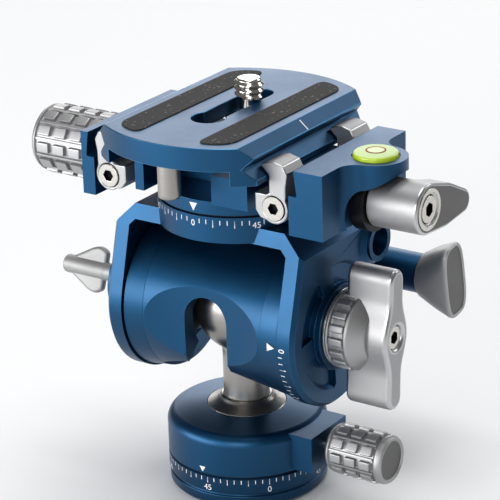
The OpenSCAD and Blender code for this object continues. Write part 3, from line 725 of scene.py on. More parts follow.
class RadialArray(NodeShape):
    """Repeats a mesh around the local Z axis, in rows along it."""

    def __init__(self) -> None:
        """Builds the tree."""
        super().__init__("radial_array", {
            "Count": "NodeSocketInt", "Rows": "NodeSocketInt", "Row Gap": "NodeSocketFloat",
            "Start": "NodeSocketFloat", "Step": "NodeSocketFloat", "Material": "NodeSocketMaterial"})
        given = self.given
        index = add_node(self.tree, "GeometryNodeInputIndex").outputs[0]
        row = self.math("FLOOR", self.math("DIVIDE", index, given["Count"]))
        column = self.math("SUBTRACT", index, self.math("MULTIPLY", row, given["Count"]))
        angle = self.math("ADD", given["Start"], self.math("MULTIPLY", column, given["Step"]))
        rise = self.math("MULTIPLY", row, given["Row Gap"])
        spot = add_node(self.tree, "ShaderNodeCombineXYZ", None, {"Z": rise})
        turn = add_node(self.tree, "ShaderNodeCombineXYZ", None, {"Z": angle})
        dots = add_node(self.tree, "GeometryNodePoints", None, {
            "Count": self.math("MULTIPLY", given["Count"], given["Rows"]),
            "Position": spot.outputs[0]})
        spin = add_node(self.tree, "FunctionNodeEulerToRotation", None, {"Euler": turn.outputs[0]})
        copies = add_node(self.tree, "GeometryNodeInstanceOnPoints", None, {
            "Points": dots.outputs[0], "Instance": given["Geometry"], "Rotation": spin.outputs[0]})
        self.close(copies.outputs[0])

    def around(
        self,
        item: bpy.types.Object,
        axis: Axis,
        centre: Point3,
        finish: Finish,
        count: int,
        start: float = 0.0,
        step: float | None = None,
        rows: int = 1,
        row_gap: float = 0.0,
    ) -> bpy.types.Object:
        """Repeats an item and puts the result on an axis.

        Args:
            item: the mesh to repeat, in the axis's local frame.
            axis: the axis.
            centre: a point of that axis.
            finish: the finish of the copies.
            count: copies around the axis.
            start: angle of the first one, in degrees from the front.
            step: angle between copies, in degrees; a full turn is shared where left out.
            rows: rows along the axis.
            row_gap: spacing of the rows.

        Returns:
            The repeated mesh in place.
        """
        turn = math.radians(360 / count if step is None else step)
        self.run(item, Count=count, Rows=rows, Row_Gap=row_gap * MM, Start=math.radians(start),
                 Step=turn, Material=finish.material())
        move = Matrix.Translation(Vector(centre) * MM) @ axis.value.to_4x4()
        item.data.transform(move)
        return item


class ScrewThread(NodeShape):
    """A sharp ridge along a helix about the local Z axis."""

    def __init__(self) -> None:
        """Builds the tree."""
        super().__init__("screw_thread", {
            "Turns": "NodeSocketFloat", "Radius": "NodeSocketFloat", "Height": "NodeSocketFloat",
            "Ridge": "NodeSocketFloat", "Material": "NodeSocketMaterial"})
        given = self.given
        helix = add_node(self.tree, "GeometryNodeCurveSpiral", None, {
            "Resolution": 48, "Rotations": given["Turns"], "Start Radius": given["Radius"],
            "End Radius": given["Radius"], "Height": given["Height"]})
        upright = add_node(self.tree, "GeometryNodeSetCurveNormal", {"mode": "Z_UP"},
                           {"Curve": helix.outputs[0]})
        section = add_node(self.tree, "GeometryNodeCurvePrimitiveCircle", None,
                           {"Resolution": 4, "Radius": given["Ridge"]})
        ridge = add_node(self.tree, "GeometryNodeCurveToMesh", None, {
            "Curve": upright.outputs[0], "Profile Curve": section.outputs[0], "Fill Caps": True})
        self.close(ridge.outputs[0])

    def coil(
        self, radius: float, turns: float, pitch: float, ridge: float, start: Point3, finish: Finish,
    ) -> bpy.types.Object:
        """Winds a thread about an upright axis.

        Args:
            radius: radius of the ridge's middle.
            turns: number of turns.
            pitch: rise of a turn.
            ridge: half of the ridge's width.
            start: point of the axis where the thread starts.
            finish: its finish.

        Returns:
            The thread, to be joined to its piece.
        """
        item = add_object("coil", bpy.data.meshes.new("coil"))
        self.run(item, Turns=turns, Radius=radius * MM, Height=turns * pitch * MM, Ridge=ridge * MM,
                 Material=finish.material())
        item.data.transform(Matrix.Translation(Vector(start) * MM))
        return item


@dataclass
class Scale:
    """Ticks, numerals and a pointer in paint on a round band."""

    repeat: RadialArray
    axis: Axis
    centre: Point3
    radius: float
    lift: float = 0.03
    tick_width: float = 0.17
    font_size: float = 1.4

    def spot(self, angle: float, along: float) -> Vector:
        """Returns the paint's place at an angle in radians and a place along the axis."""
        r = self.radius + self.lift
        return self.axis.place((r * math.cos(angle), r * math.sin(angle), along), self.centre)

    def ticks(
        self, along: float, length: float, count: int, start: float, step: float,
    ) -> bpy.types.Object:
        """Makes a row of ticks.

        Args:
            along: where a tick starts, along the axis.
            length: its length along the axis, less than 0 downwards.
            count: the number of ticks.
            start: angle of the first one, in degrees from the front.
            step: angle between them, in degrees.

        Returns:
            The ticks.
        """
        r = self.radius + self.lift
        half = self.tick_width / 2
        points = [(r, side, along + end) for side in (-half, half) for end in (0, length)]
        item = make("tick", points, [(0, 2, 3, 1)])
        return self.repeat.around(item, self.axis, self.centre, WHITE_PAINT, count, start, step)

    def numeral(self, number: int, height: float, along: float, angle: float) -> bpy.types.Object:
        """Makes a number that follows the band.

        Args:
            number: the number.
            height: its height.
            along: its lower edge's place along the axis.
            angle: its middle, in degrees from the front.

        Returns:
            The number as a mesh.
        """
        words = bpy.data.curves.new("numeral", "FONT")
        words.body = str(number)
        words.size = height * self.font_size
        words.align_x = "CENTER"
        holder = add_object("numeral", words)
        mesh = plain_mesh(holder)
        bpy.data.objects.remove(holder)
        for vertex in mesh.vertices:
            turn = math.radians(angle) + vertex.co.x / self.radius
            vertex.co = self.spot(turn, along + vertex.co.y) * MM
        mesh.materials.clear()
        return paint(add_object("numeral", mesh), WHITE_PAINT)

    def pointer(
        self, name: str, body: str, tip: float, back: float, half: float, angle: float = 0.0,
    ) -> None:
        """Makes a triangle on the band and puts it on its body.

        Args:
            name: the piece's name.
            body: the body that carries it.
            tip: place of its tip along the axis.
            back: place of its base along the axis.
            half: half of its base's width.
            angle: its middle, in degrees from the front.
        """
        spread = half / (self.radius + self.lift)
        mid = math.radians(angle)
        points = [self.spot(mid, tip), self.spot(mid - spread, back), self.spot(mid + spread, back)]
        item = paint(make(name, points, [(0, 1, 2)]), WHITE_PAINT)
        fit(item, body, WHITE_PAINT.slot)


@dataclass
class PhotoCamera:
    """The photograph's viewpoint."""

    azimuth: float = 34.373
    elevation: float = 21.274
    roll: float = -1.770
    focal: float = 2331.3
    frame_px: float = 500.0
    sensor: float = 36.0
    clip_end: float = 20.0
    place: Point3 = (263.1, -381.7, 233.6)

    def build(self) -> None:
        """Adds the camera and makes it the scene's."""
        a = math.radians(self.azimuth)
        e = math.radians(self.elevation)
        right = Vector((math.cos(a), math.sin(a), 0))
        up = Vector((-math.sin(a) * math.sin(e), math.cos(a) * math.sin(e), math.cos(e)))
        back = Vector((math.sin(a) * math.cos(e), -math.cos(a) * math.cos(e), math.sin(e)))
        turn = Matrix((right, up, back)).transposed() @ Matrix.Rotation(math.radians(self.roll), 3, "Z")
        lens = bpy.data.cameras.new("photo_camera")
        lens.sensor_width = self.sensor
        lens.lens = self.focal / self.frame_px * self.sensor
        lens.clip_end = self.clip_end
        item = add_object("photo_camera", lens)
        item.matrix_world = Matrix.Translation(Vector(self.place) * MM) @ turn.to_4x4()
        bpy.context.scene.camera = item


@dataclass
class Studio:
    """Pale floor, soft lamps and a pale surround."""

    floor_half: float = 3000.0
    floor_colour: str = "#edeeef"
    world_light: float = 0.15
    aim: Point3 = (0.0, 0.0, 50.0)

    def build(self) -> None:
        """Adds the floor, the lamps and the world."""
        scene = bpy.context.scene
        scene.view_settings.view_transform = "Standard"
        world = bpy.data.worlds.new("studio")
        world.use_nodes = True
        world.node_tree.nodes.clear()
        glow = add_node(world.node_tree, "ShaderNodeBackground", None,
                        {"Color": linear("#ffffff"), "Strength": self.world_light})
        add_node(world.node_tree, "ShaderNodeOutputWorld", None, {"Surface": glow.outputs[0]})
        scene.world = world
        self.floor()
        self.lamp("key", (-440, -600, 150), (0.7, 0.34), 5.4)
        self.lamp("back", (-560, 820, 430), (0.7, 0.7), 4.2)
        self.lamp("rim", (340, 700, 480), (0.4, 0.4), 1.5)
        self.lamp("top", (0, 60, 950), (0.6, 0.6), 5.4)
        self.lamp("front", (240, -740, 300), (0.4, 0.4), 2.2)

    def floor(self) -> None:
        """Adds the pale matt floor."""
        h = self.floor_half
        item = make("floor", [(-h, -h, 0), (h, -h, 0), (h, h, 0), (-h, h, 0)], [(0, 1, 2, 3)])
        material = bpy.data.materials.new("pale_studio_floor")
        material.use_nodes = True
        tree = material.node_tree
        tree.nodes.clear()
        matt = add_node(tree, "ShaderNodeBsdfDiffuse", None, {"Color": linear(self.floor_colour)})
        add_node(tree, "ShaderNodeOutputMaterial", None, {"Surface": matt.outputs[0]})
        item.data.materials.append(material)

    def lamp(self, name: str, place: Point3, size: Point2, power: float) -> None:
        """Adds a soft lamp that looks at the head.

        Args:
            name: the lamp's name.
            place: its place.
            size: its width and height, in metres.
            power: its power, in watts.
        """
        light = bpy.data.lights.new(name, "AREA")
        light.shape = "RECTANGLE"
        light.size = size[0]
        light.size_y = size[1]
        light.energy = power
        item = add_object(name, light)
        look = Vector(self.aim) - Vector(place)
        item.matrix_world = (Matrix.Translation(Vector(place) * MM)
                             @ look.to_track_quat("-Z", "Y").to_matrix().to_4x4())


@dataclass
class GripKnob:
    """A barrel shaped knob along X with rows of raised pads.

    The free end points the way of `outer`, 1 or -1. The bands, plain rims beside the pads at the
    free end and at the near end, and the sides of pads and ribs are shares of what they lie in.
    """

    name: str
    x0: float
    x1: float
    radius: float
    centre: Point2
    columns: int
    pads: int
    outer: int
    band: float
    near_band: float = 0.12
    groove: float = 0.85
    pad_share: Point2 = (0.56, 0.74)
    rib_share: float = 0.16
    rib_depth: float = 0.95
    rib_high: float = 1.3
    dish: float = 0.4
    disc_in: float = 1.4
    disc_proud: float = 0.02
    disc_thick: float = 0.2

    def build(self, repeat: RadialArray, node: str) -> None:
        """Builds the knob.

        Args:
            repeat: the tree that repeats the pads.
            node: the node that the knob stands for.
        """
        r = self.radius
        low, high = self.x0, self.x1
        length = high - low
        centre = (0.0, *self.centre)
        near = self.near_band * length
        rim = self.band * length
        core = r - self.groove
        floor = high - self.dish
        outline = [(0, low), (r - 1.6, low), (r - 0.5, low + 0.9), (r - 0.25, low + near * 0.8),
                   (core, low + near), (core, high - rim), (r - 0.25, high - rim * 0.8),
                   (r - 0.3, high - 0.7), (r - 0.75, high), (r - 1.15, high), (r - 1.3, floor),
                   (0, floor)]
        # A thin disc just proud of the dished end carries painted shade, for the dish in the shade of
        # its rim.
        end = floor + self.disc_proud
        back = end - self.disc_thick
        disc = r - self.disc_in
        shade_disc = [(0, end), (disc, end), (disc, back), (0, back)]
        if self.outer < 0:
            outline, shade_disc = (
                [(radius, low + high - x) for radius, x in reversed(line)] for line in (outline, shade_disc))
        body = paint(lathe(self.name, rounded(outline, radius=0.5), Axis.TILT, centre), SILVER)
        face = paint(lathe("end", shade_disc, Axis.TILT, centre), SHADED_SILVER)
        span = length - near - rim
        first = low + (near if self.outer > 0 else rim)
        gap = span / self.pads
        width = 2 * math.pi * r / self.columns
        around, along = self.pad_share
        pad = block("pad", (2 * self.groove, width * around, gap * along),
                    (core, 0, first + gap / 2), bevel=0.3)
        rib = block("rib", (self.rib_high, width * self.rib_share, span),
                    (r - self.rib_depth, 0, first + span / 2), bevel=0.15)
        pads = repeat.around(pad, Axis.TILT, centre, SILVER, self.columns, rows=self.pads, row_gap=gap)
        ribs = repeat.around(rib, Axis.TILT, centre, SILVER, self.columns, start=180 / self.columns)
        item = join(self.name, body, pads, ribs, face)
        fit(shade(item), body_of(node), SILVER.slot, node)


@dataclass
class PanBase:
    """Foot, graduated ring and drum of the panning base."""

    radius: float = 17.5
    foot_top: float = 3.6
    ring_top: float = 7.4
    socket_r: float = 4.7625
    socket_pitch: float = 1.5875
    socket_turns: float = 5.4
    socket_depth: float = 10.0
    thread_ridge: float = 0.45
    thread_start: float = 0.9
    hub_r: float = 6.6
    hub_top: float = 14.15
    hub_bore: float = 2.9625
    zero: float = 48.65
    pointer_turn: float = -49.0
    tick_gap: float = 0.35
    short_tick: float = 0.9
    long_tick: float = 1.3
    digit: float = 1.35
    knob_z: float = 12.4

    def build(self, repeat: RadialArray, thread: ScrewThread) -> None:
        """Builds the base's pieces.

        Args:
            repeat: the tree that repeats ticks and pads.
            thread: the tree of the socket's thread.
        """
        r = self.radius
        s = self.socket_r
        foot = [(s, 0.6), (s + 0.6, 0), (r - 1.2, 0), (r - 0.15, 1.1), (r - 0.15, 3.0), (r - 0.5, 3.2),
                (r - 0.5, self.foot_top), (self.hub_r, self.foot_top), (self.hub_r, self.hub_top),
                (self.hub_bore, self.hub_top), (self.hub_bore, self.socket_depth),
                (s, self.socket_depth), (s, 0.6)]
        body = paint(lathe("base_foot_turned", rounded(foot, radius=0.25)[:-1], Axis.UP), BLUE_TURNED)
        coil = thread.coil(s - 0.05, self.socket_turns, self.socket_pitch, self.thread_ridge,
                           (0, 0, self.thread_start), BLUE_TURNED)
        fit(shade(join("base_foot_turned", body, coil)), "base", BLUE.slot, "base_foot")
        ring = [(self.hub_r, self.foot_top), (r - 0.3, self.foot_top), (r, self.foot_top + 0.3),
                (r, self.ring_top - 0.3), (r - 0.3, self.ring_top), (self.hub_r, self.ring_top)]
        turned("base_scale_band", ring, BLUE_TURNED, "base_scale_ring")
        scale = Scale(repeat, Axis.UP, ORIGIN, r)
        top = self.ring_top - self.tick_gap
        marks = [scale.ticks(top, -self.short_tick, count=72, start=self.zero, step=5),
                 scale.ticks(top, -self.long_tick, count=24, start=self.zero, step=15)]
        marks += [scale.numeral(abs(n), self.digit, self.foot_top + 0.45, self.zero + n)
                  for n in range(-135, 181, 45)]
        fit(join("base_scale_marks", *marks), "base", WHITE_PAINT.slot)
        softened("base_drum", BLUE, BLUE_RIM_HIGHLIGHT, bevel=0.35)
        scale.pointer("base_pointer", "drum", tip=8.1, back=9.3, half=0.75,
                      angle=self.zero + self.pointer_turn)
        knob = GripKnob("base_knob_grip", x0=22.3, x1=36.8, radius=5.6, centre=(0.0, self.knob_z),
                        columns=10, pads=3, outer=1, band=0.14)
        knob.build(repeat, "base_lock_knob")
        dress(BLACK_ACETAL, "base_thrust_washer")
        dress(NICKEL, "base_retainer", "base_lock_stud")
        dress(BRONZE, "base_brake_shoe")


@dataclass
class BallStem:
    """Flange, stem and ball."""

    stem_r: float = 5.0
    ball_r: float = 10.5
    ball_z: float = 40.9
    foot_z: float = 15.6
    tenon_r: float = 3.2
    tenon_top: float = 16.8
    fillet: float = 0.35
    fillet_drop: float = 1.2
    steps: int = 32

    def build(self) -> None:
        """Builds the stem's pieces."""
        # The flange's rounded edges take the lighter nickel as a painted highlight.
        softened("stem_flange", STEEL, NICKEL)
        neck = self.stem_r + self.fillet
        waist = self.ball_z - math.sqrt(self.ball_r ** 2 - neck ** 2)
        outline = [(0, self.foot_z), (self.tenon_r, self.foot_z), (self.tenon_r, self.tenon_top),
                   (self.stem_r, self.tenon_top), (self.stem_r, waist - self.fillet_drop)]
        first = math.asin(neck / self.ball_r)
        for i in range(self.steps):
            angle = first + (math.pi - first) * i / self.steps
            outline.append((self.ball_r * math.sin(angle), self.ball_z - self.ball_r * math.cos(angle)))
        outline.append((0, self.ball_z + self.ball_r))
        turned("stem_and_ball", outline, STEEL, "ball_stem")
        dress(BLACK_ACETAL, "ball_liner")


@dataclass
class TiltBarrel:
    """Barrel, end caps and ball lock."""

    axis_z: float = 40.9
    barrel_r: float = 16.6
    cap_r: float = 17.2
    cap_in: float = 15.2
    cap_over: float = 0.4
    cap_proud: float = 0.03
    lug_y: float = 32.0
    lug_z: float = 41.7
    paddle_start: float = 26.3
    paddle_end: float = 34.3
    paddle_dish: float = 0.25
    paddle_lean: float = 10.0
    paddle_steps: int = 64

    def build(self, repeat: RadialArray) -> None:
        """Builds the barrel's pieces.

        Args:
            repeat: the tree of the markings.
        """
        softened("barrel", BLUE, BLUE_RIM_HIGHLIGHT, crisp=14)
        for cap in ("barrel_cap_left", "barrel_cap_right"):
            softened(cap, BLUE, edit=self.run_out)
        mark = Scale(repeat, Axis.TILT, (0, 0, self.axis_z), self.cap_r)
        mark.pointer("tilt_pointer", "barrel", tip=19.0, back=17.2, half=0.9)
        self.paddle()
        dress(BLACK_ACETAL, "ball_cup_left", "ball_cup_right")
        dress(BRONZE, "ball_lock_plunger")
        dress(NICKEL, "ball_lock_screw")

    def run_out(self, solid: bmesh.types.BMesh) -> None:
        """Draws a cap's inner rim in, so that it runs out flush on the barrel.

        Args:
            solid: the cap's mesh, in metres.
        """
        for vertex in solid.verts:
            x, y, z = vertex.co / MM - Vector((0, 0, self.axis_z))
            reach = math.hypot(y, z)
            if abs(x) < self.cap_in + 0.1 and reach > self.barrel_r + 0.3:
                shrink = (self.barrel_r + self.cap_proud) / reach
                end = math.copysign(self.cap_in - self.cap_over, x)
                vertex.co = Vector((end, y * shrink, z * shrink + self.axis_z)) * MM

    def paddle(self) -> None:
        """Builds the ball lock's paddle as a loft from a round neck to a flat end."""
        x0 = self.paddle_start
        x1 = self.paddle_end
        dish = x1 - self.paddle_dish
        # Place along X, half width, half height and power of each section's superellipse.
        sections = [(x0, 0.05, 0.05, 2.0), (x0, 4.5, 4.7, 2.0), (x0 + 0.4, 4.9, 5.3, 2.0),
                    (x0 + 1.9, 4.9, 6.2, 2.2), (x0 + 4.0, 4.75, 7.4, 2.6), (x0 + 6.0, 4.5, 8.3, 3.0),
                    (x1 - 1.0, 4.3, 8.75, 3.4), (x1 - 0.3, 4.2, 8.75, 3.4), (x1, 3.95, 8.5, 3.4),
                    (x1, 3.6, 8.15, 3.4), (dish, 3.45, 8.0, 3.4), (dish, 0.05, 0.05, 2.0)]
        count = self.paddle_steps
        lean = Matrix.Rotation(math.radians(self.paddle_lean), 3, "X")
        points = []
        for x, wide, high, power in sections:
            for c, s in circle(count):
                y = math.copysign(abs(c) ** (2 / power), c) * wide
                z = math.copysign(abs(s) ** (2 / power), s) * high
                points.append(lean @ Vector((x, y, z)) + Vector((0, self.lug_y, self.lug_z)))
        faces = [tuple(range(count)), tuple(range(len(points) - count, len(points)))]
        for k in range(len(sections) - 1):
            for i in range(count):
                n = (i + 1) % count
                faces.append((k * count + i, k * count + n, (k + 1) * count + n, (k + 1) * count + i))
        item = paint(make("ball_lock_grip", points, faces), SILVER, SHADED_SILVER)
        # The dished end face is painted shade, in the darker grey.
        for face in item.data.polygons:
            gaps = [abs(item.data.vertices[v].co.x / MM - dish) for v in face.vertices]
            face.material_index = int(max(gaps) < 0.02)
        fit(shade(item), "ball_lock", SILVER.slot, "ball_lock_paddle")


@dataclass
class Yoke:
    """Yoke with the pan scale, the tilt scale and the drag screw."""

    axis_z: float = 40.9
    pan_r: float = 17.5
    pan_top: float = 66.9
    platform_r: float = 17.2
    short_tick: float = 1.0
    long_tick: float = 1.6
    pan_digit: float = 1.35
    tilt_digit: float = 1.4
    arm_r: float = 17.7
    arm_in: float = 19.8
    arm_out: float = 23.8
    arm_cut: float = 0.9
    arm_clear: float = 12.0
    drag_r: float = 2.1
    drag_neck: float = 2.0
    wing_root: float = 11.1
    wing_half: float = 5.4
    wing_thick: float = 2.0
    wing_round: float = 0.85
    wing_lean: float = -20.0

    def build(self, repeat: RadialArray) -> None:
        """Builds the yoke's pieces.

        Args:
            repeat: the tree of the markings.
        """
        softened("yoke", BLUE, BLUE_RIM_HIGHLIGHT, edit=self.chamfer)
        pan = Scale(repeat, Axis.UP, ORIGIN, self.pan_r)
        top = self.pan_top - 0.6
        marks = []
        for n in range(0, 360, 45):
            marks += [pan.ticks(top, -self.short_tick, count=8, start=n + 5, step=5),
                      pan.ticks(top, -self.long_tick, count=2, start=n + 15, step=15),
                      pan.numeral(min(n, 360 - n), self.pan_digit, self.pan_top - 2.3, n)]
        fit(join("pan_scale_marks", *marks), "yoke", WHITE_PAINT.slot)
        tilt = Scale(repeat, Axis.TILT, (0, 0, self.axis_z), self.arm_r)
        inner = self.arm_in + 0.35
        marks = [tilt.ticks(inner, self.short_tick, count=12, start=5, step=5),
                 tilt.ticks(inner, self.long_tick, count=4, start=15, step=15),
                 tilt.numeral(0, self.tilt_digit, self.arm_in + 0.6, 0)]
        fit(join("tilt_scale_marks", *marks), "yoke", WHITE_PAINT.slot)
        softened("drag_cap", BLUE, BLUE_RIM_HIGHLIGHT, bevel=0.4)
        self.drag()
        softened("pan_platform", BLUE, BLUE_RIM_HIGHLIGHT, bevel=0.25)
        platform = Scale(repeat, Axis.UP, ORIGIN, self.platform_r)
        platform.pointer("pan_pointer", "platform", tip=67.75, back=69.5, half=0.95)
        dress(BRONZE, "tilt_bush_left", "tilt_bush_right", "drag_pad")
        dress(BLACK_ACETAL, "pan_bearing_ring", "pan_friction_washer")
        dress(NICKEL, "pan_retainer")

    def drag(self) -> None:
        """Builds the cast drag screw: a round shaft with two thick, soft edged wings."""
        lo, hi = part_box("drag_screw")
        end = lo.x / MM
        start = hi.x / MM
        r = self.drag_r
        half = self.wing_half
        side = self.wing_thick / 2
        root = end + self.wing_root
        centre = (0, 0, self.axis_z)
        rod = [(0, end), (r, end), (r, root), (self.drag_neck, root + 0.3), (self.drag_neck, start),
               (0, start)]
        shaft = paint(lathe("shaft", rounded(rod, radius=0.6), Axis.TILT, centre), TUMBLED)
        # Corners of a wing from its root to the free end, as X and distance from the axis.
        upper = [(root, half - 1), (root - 2.1, half), (root - 4.1, half - 0.5), (end + 1, r - 0.6)]
        loop = upper + [(x, -z) for x, z in reversed(upper)] + upper[:1]
        outline = rounded(loop, radius=0.9)[:-1]
        wings = paint(prism("wings", outline, -side, side, upright=True), TUMBLED)
        shade(wings, bevel=self.wing_round, steps=4)
        wings.data.transform(Matrix.Translation(Vector(centre) * MM)
                             @ Matrix.Rotation(math.radians(90 + self.wing_lean), 4, "X"))
        fit(join("drag_screw_cast", shade(shaft), wings), "drag", TUMBLED.slot, "drag_screw")

    def chamfer(self, solid: bmesh.types.BMesh) -> None:
        """Cuts a chamfer along the outer edges of the arms.

        Args:
            solid: the yoke's mesh, in metres.
        """
        edges = [edge for edge in solid.edges if edge.is_manifold and self.on_outline(edge)]
        bmesh.ops.bevel(solid, geom=edges, offset=self.arm_cut * MM, segments=1, affect="EDGES",
                        material=0)

    def on_outline(self, edge: bmesh.types.BMEdge) -> bool:
        """Tells whether an edge of the yoke lies on an arm's outer outline.

        Args:
            edge: the edge, in metres.

        Returns:
            True where it does.
        """
        spots = [vertex.co / MM for vertex in edge.verts]
        outside = all(abs(abs(spot.x) - self.arm_out) < 0.02 for spot in spots)
        far = all(math.hypot(spot.y, spot.z - self.axis_z) > self.arm_clear for spot in spots)
        tilts = sorted(abs(face.normal.x) for face in edge.link_faces)
        return outside and far and tilts[0] < 0.2 and tilts[1] > 0.98


@dataclass
class TiltKnob:
    """Tilt lock: ribbed collar, wing and screw."""

    axis_z: float = 40.9
    collar_r: float = 8.7
    collar_x: float = 25.6
    cone_r: float = 5.6
    rib_size: Point3 = (1.5, 1.7, 3.4)
    wing_x: float = 27.3
    wing_end: float = 38.1
    span: float = 31.0
    tip: float = 2.6
    hub: float = 4.68
    waist: float = 8.5
    lean: float = 3.0
    drop: float = 0.6
    screw_bore: float = 2.55
    bore_deep: float = 4.0
    socket_r: float = 1.45
    ribs: int = 18

    def outline(self) -> list[Point2]:
        """Returns the wing's outline in the YZ plane, waisted between hub and tips."""
        low = -self.span / 2 - self.drop + self.tip
        high = self.span / 2 - self.drop - self.tip
        side = []
        for i in range(41):
            s = low + (high - low) * i / 40
            swell = math.cos(min(1.0, abs(s) / self.waist) * math.pi / 2) ** 2
            side.append((self.tip + (self.hub - self.tip) * swell, s))
        turns = [math.pi * k / 12 for k in range(1, 12)]
        loop = side + [(self.tip * math.cos(a), high + self.tip * math.sin(a)) for a in turns]
        loop += [(-y, z) for y, z in reversed(side)]
        loop += [(-self.tip * math.cos(a), low - self.tip * math.sin(a)) for a in turns]
        return swung(loop, -self.lean, (0.0, self.axis_z))

    def build(self, repeat: RadialArray) -> None:
        """Builds the knob's pieces.

        Args:
            repeat: the tree of the ribs.
        """
        centre = (0.0, 0.0, self.axis_z)
        r = self.collar_r
        x = self.collar_x
        cone = [(0, x), (r - 0.1, x), (r - 0.1, x + 0.7), (r - 0.9, x + 0.9), (r - 0.9, x + 4.2),
                (r - 0.3, x + 4.4), (r - 0.3, x + 5.0), (self.cone_r, x + 8.0), (0, x + 8.0)]
        collar = paint(lathe("tilt_knob", rounded(cone, radius=0.3), Axis.TILT, centre), SILVER)
        rib = block("rib", self.rib_size, (r - self.rib_size[0] / 2, 0, x + 2.55), bevel=0.35)
        ribs = repeat.around(rib, Axis.TILT, centre, SILVER, self.ribs)
        shade(collar)
        wing = prism("wing", self.outline(), self.wing_x, self.wing_end)
        drill(wing, self.screw_bore, self.wing_end - self.bore_deep, self.wing_end + 1, centre)
        shade(paint(wing, SILVER, SILVER_RIM_HIGHLIGHT), bevel=0.9, steps=4)
        fit(join("tilt_knob", collar, ribs, wing), "tilt_knob", SILVER.slot, "tilt_wing_knob")
        socket_screws("tilt_knob_screw", (1, 0, 0), self.socket_r, bevel=0.12)
        softened("tilt_lock_washer", NICKEL, bevel=0.1)
        dress(NICKEL, "tilt_lock_stud")


@dataclass
class Clamp:
    """Lever clamp: body, jaw, claws, level, lever and knob."""

    y: float = -2.2
    rod_z: float = 71.6
    level_x: float = 34.8
    level_r: float = 5.0
    level_z: float = 79.4
    level_h: float = 2.8
    target_r: Point2 = (1.75, 2.1)
    claw_socket_r: float = 1.3
    lever_socket_r: float = 1.55
    lever_r: float = 5.35
    lever_in: float = 35.4
    screw_bore: float = 2.9
    lever_arm_x: float = 41.9
    lever_end: float = 47.1
    barrel_end: float = 46.4
    lever_arm: float = 17.2
    lever_mid: float = 4.6
    lever_tip: float = 2.6
    lever_drop: float = 11.0

    def build(self, repeat: RadialArray) -> None:
        """Builds the clamp's pieces.

        Args:
            repeat: the tree of the knob's pads.
        """
        softened("clamp_body", BLUE, BLUE_RIM_HIGHLIGHT)
        softened("left_jaw", BLUE, BLUE_RIM_HIGHLIGHT)
        for claw in ("claw_left_front", "claw_left_rear", "claw_right_front", "claw_right_rear"):
            softened(claw, SILVER, SILVER_RIM_HIGHLIGHT, bevel=0.7)
        for screws in ("claw_screws_left", "claw_screws_right"):
            socket_screws(screws, (0, 1, 0), self.claw_socket_r, bevel=0.15)
        socket_screws("lever_screw", (1, 0, 0), self.lever_socket_r, bevel=0.12)
        softened("lever_ring", NICKEL, bevel=0.08)
        self.level()
        self.lever()
        knob = GripKnob("clamp_knob_grip", x0=-48.6, x1=-27.8, radius=7.7, centre=(self.y, self.rod_z),
                        columns=12, pads=4, outer=-1, band=0.06)
        knob.build(repeat, "clamp_knob")
        dress(NICKEL, "clamp_bolts", "clamp_rod", "jaw_guide_pin", "jaw_spring")
        dress(BLACK_STEEL_AND_SOCKET_SHADE, "cam_washer")

    def level(self) -> None:
        """Builds the bubble level: green spirit, its paler top, black cup, target circle and bubble."""
        r = self.level_r
        top = self.level_h
        inner, outer = self.target_r
        profiles = {
            LEVEL_GREEN: [(0, 0.3), (r - 0.3, 0.3), (r - 0.3, top - 0.75), (r - 0.55, top - 0.45),
                          (0, top - 0.4)],
            LEVEL_TOP: [(0, top - 0.5), (r - 0.6, top - 0.5), (r - 0.75, top - 0.3), (3.0, top - 0.14),
                        (1.5, top - 0.08), (0, top - 0.06)],
            BLACK_ACETAL: [(r - 0.4, 0.0), (r, 0.0), (r, 1.3), (r - 0.4, 1.3)],
            LEVEL_RED: [(inner, top - 0.2), (outer, top - 0.2), (outer, top - 0.02),
                        (inner, top - 0.02)],
            LEVEL_BUBBLE: [(0, top - 0.2), (inner, top - 0.2), (inner, top - 0.04), (0, top)],
        }
        centre = (self.level_x, self.y, self.level_z)
        items = [paint(lathe(finish.name, outline, Axis.UP, centre), finish)
                 for finish, outline in profiles.items()]
        fit(shade(join("bubble_level", *items)), "platform", LEVEL_GREEN.slot, "level_vial")

    def lever(self) -> None:
        """Builds the lever: a barrel and a tapered arm whose end face is painted shade."""
        centre = (0.0, self.y, self.rod_z)
        r = self.lever_r
        bore = self.screw_bore
        profile = [(bore, self.lever_in), (r - 0.3, self.lever_in), (r, self.lever_in + 0.3),
                   (r, self.barrel_end), (bore, self.barrel_end)]
        barrel = shade(paint(lathe("lever", profile, Axis.TILT, centre), SILVER))
        far = self.lever_arm - self.lever_tip
        discs = ((0, r), (far / 2, self.lever_mid), (far, self.lever_tip))
        dots = [Vector((middle + radius * c, radius * s)) for middle, radius in discs
                for c, s in circle(72)]
        loop = [dots[i] for i in convex_hull_2d(dots)]
        outline = swung(loop, -self.lever_drop, (self.y, self.rod_z))
        arm = prism("arm", outline, self.lever_arm_x, self.lever_end)
        drill(arm, bore, self.lever_arm_x - 1, self.lever_end + 1, centre)
        paint(arm, SILVER, SHADED_SILVER, SILVER_RIM_HIGHLIGHT)
        # The end face that looks along +X is painted shade, in the darker grey.
        for face in arm.data.polygons:
            face.material_index = int(face.normal.x > 0.9)
        shade(arm, bevel=0.6, steps=3)
        fit(join("lever", barrel, arm), "lever", SILVER.slot, "clamp_lever")


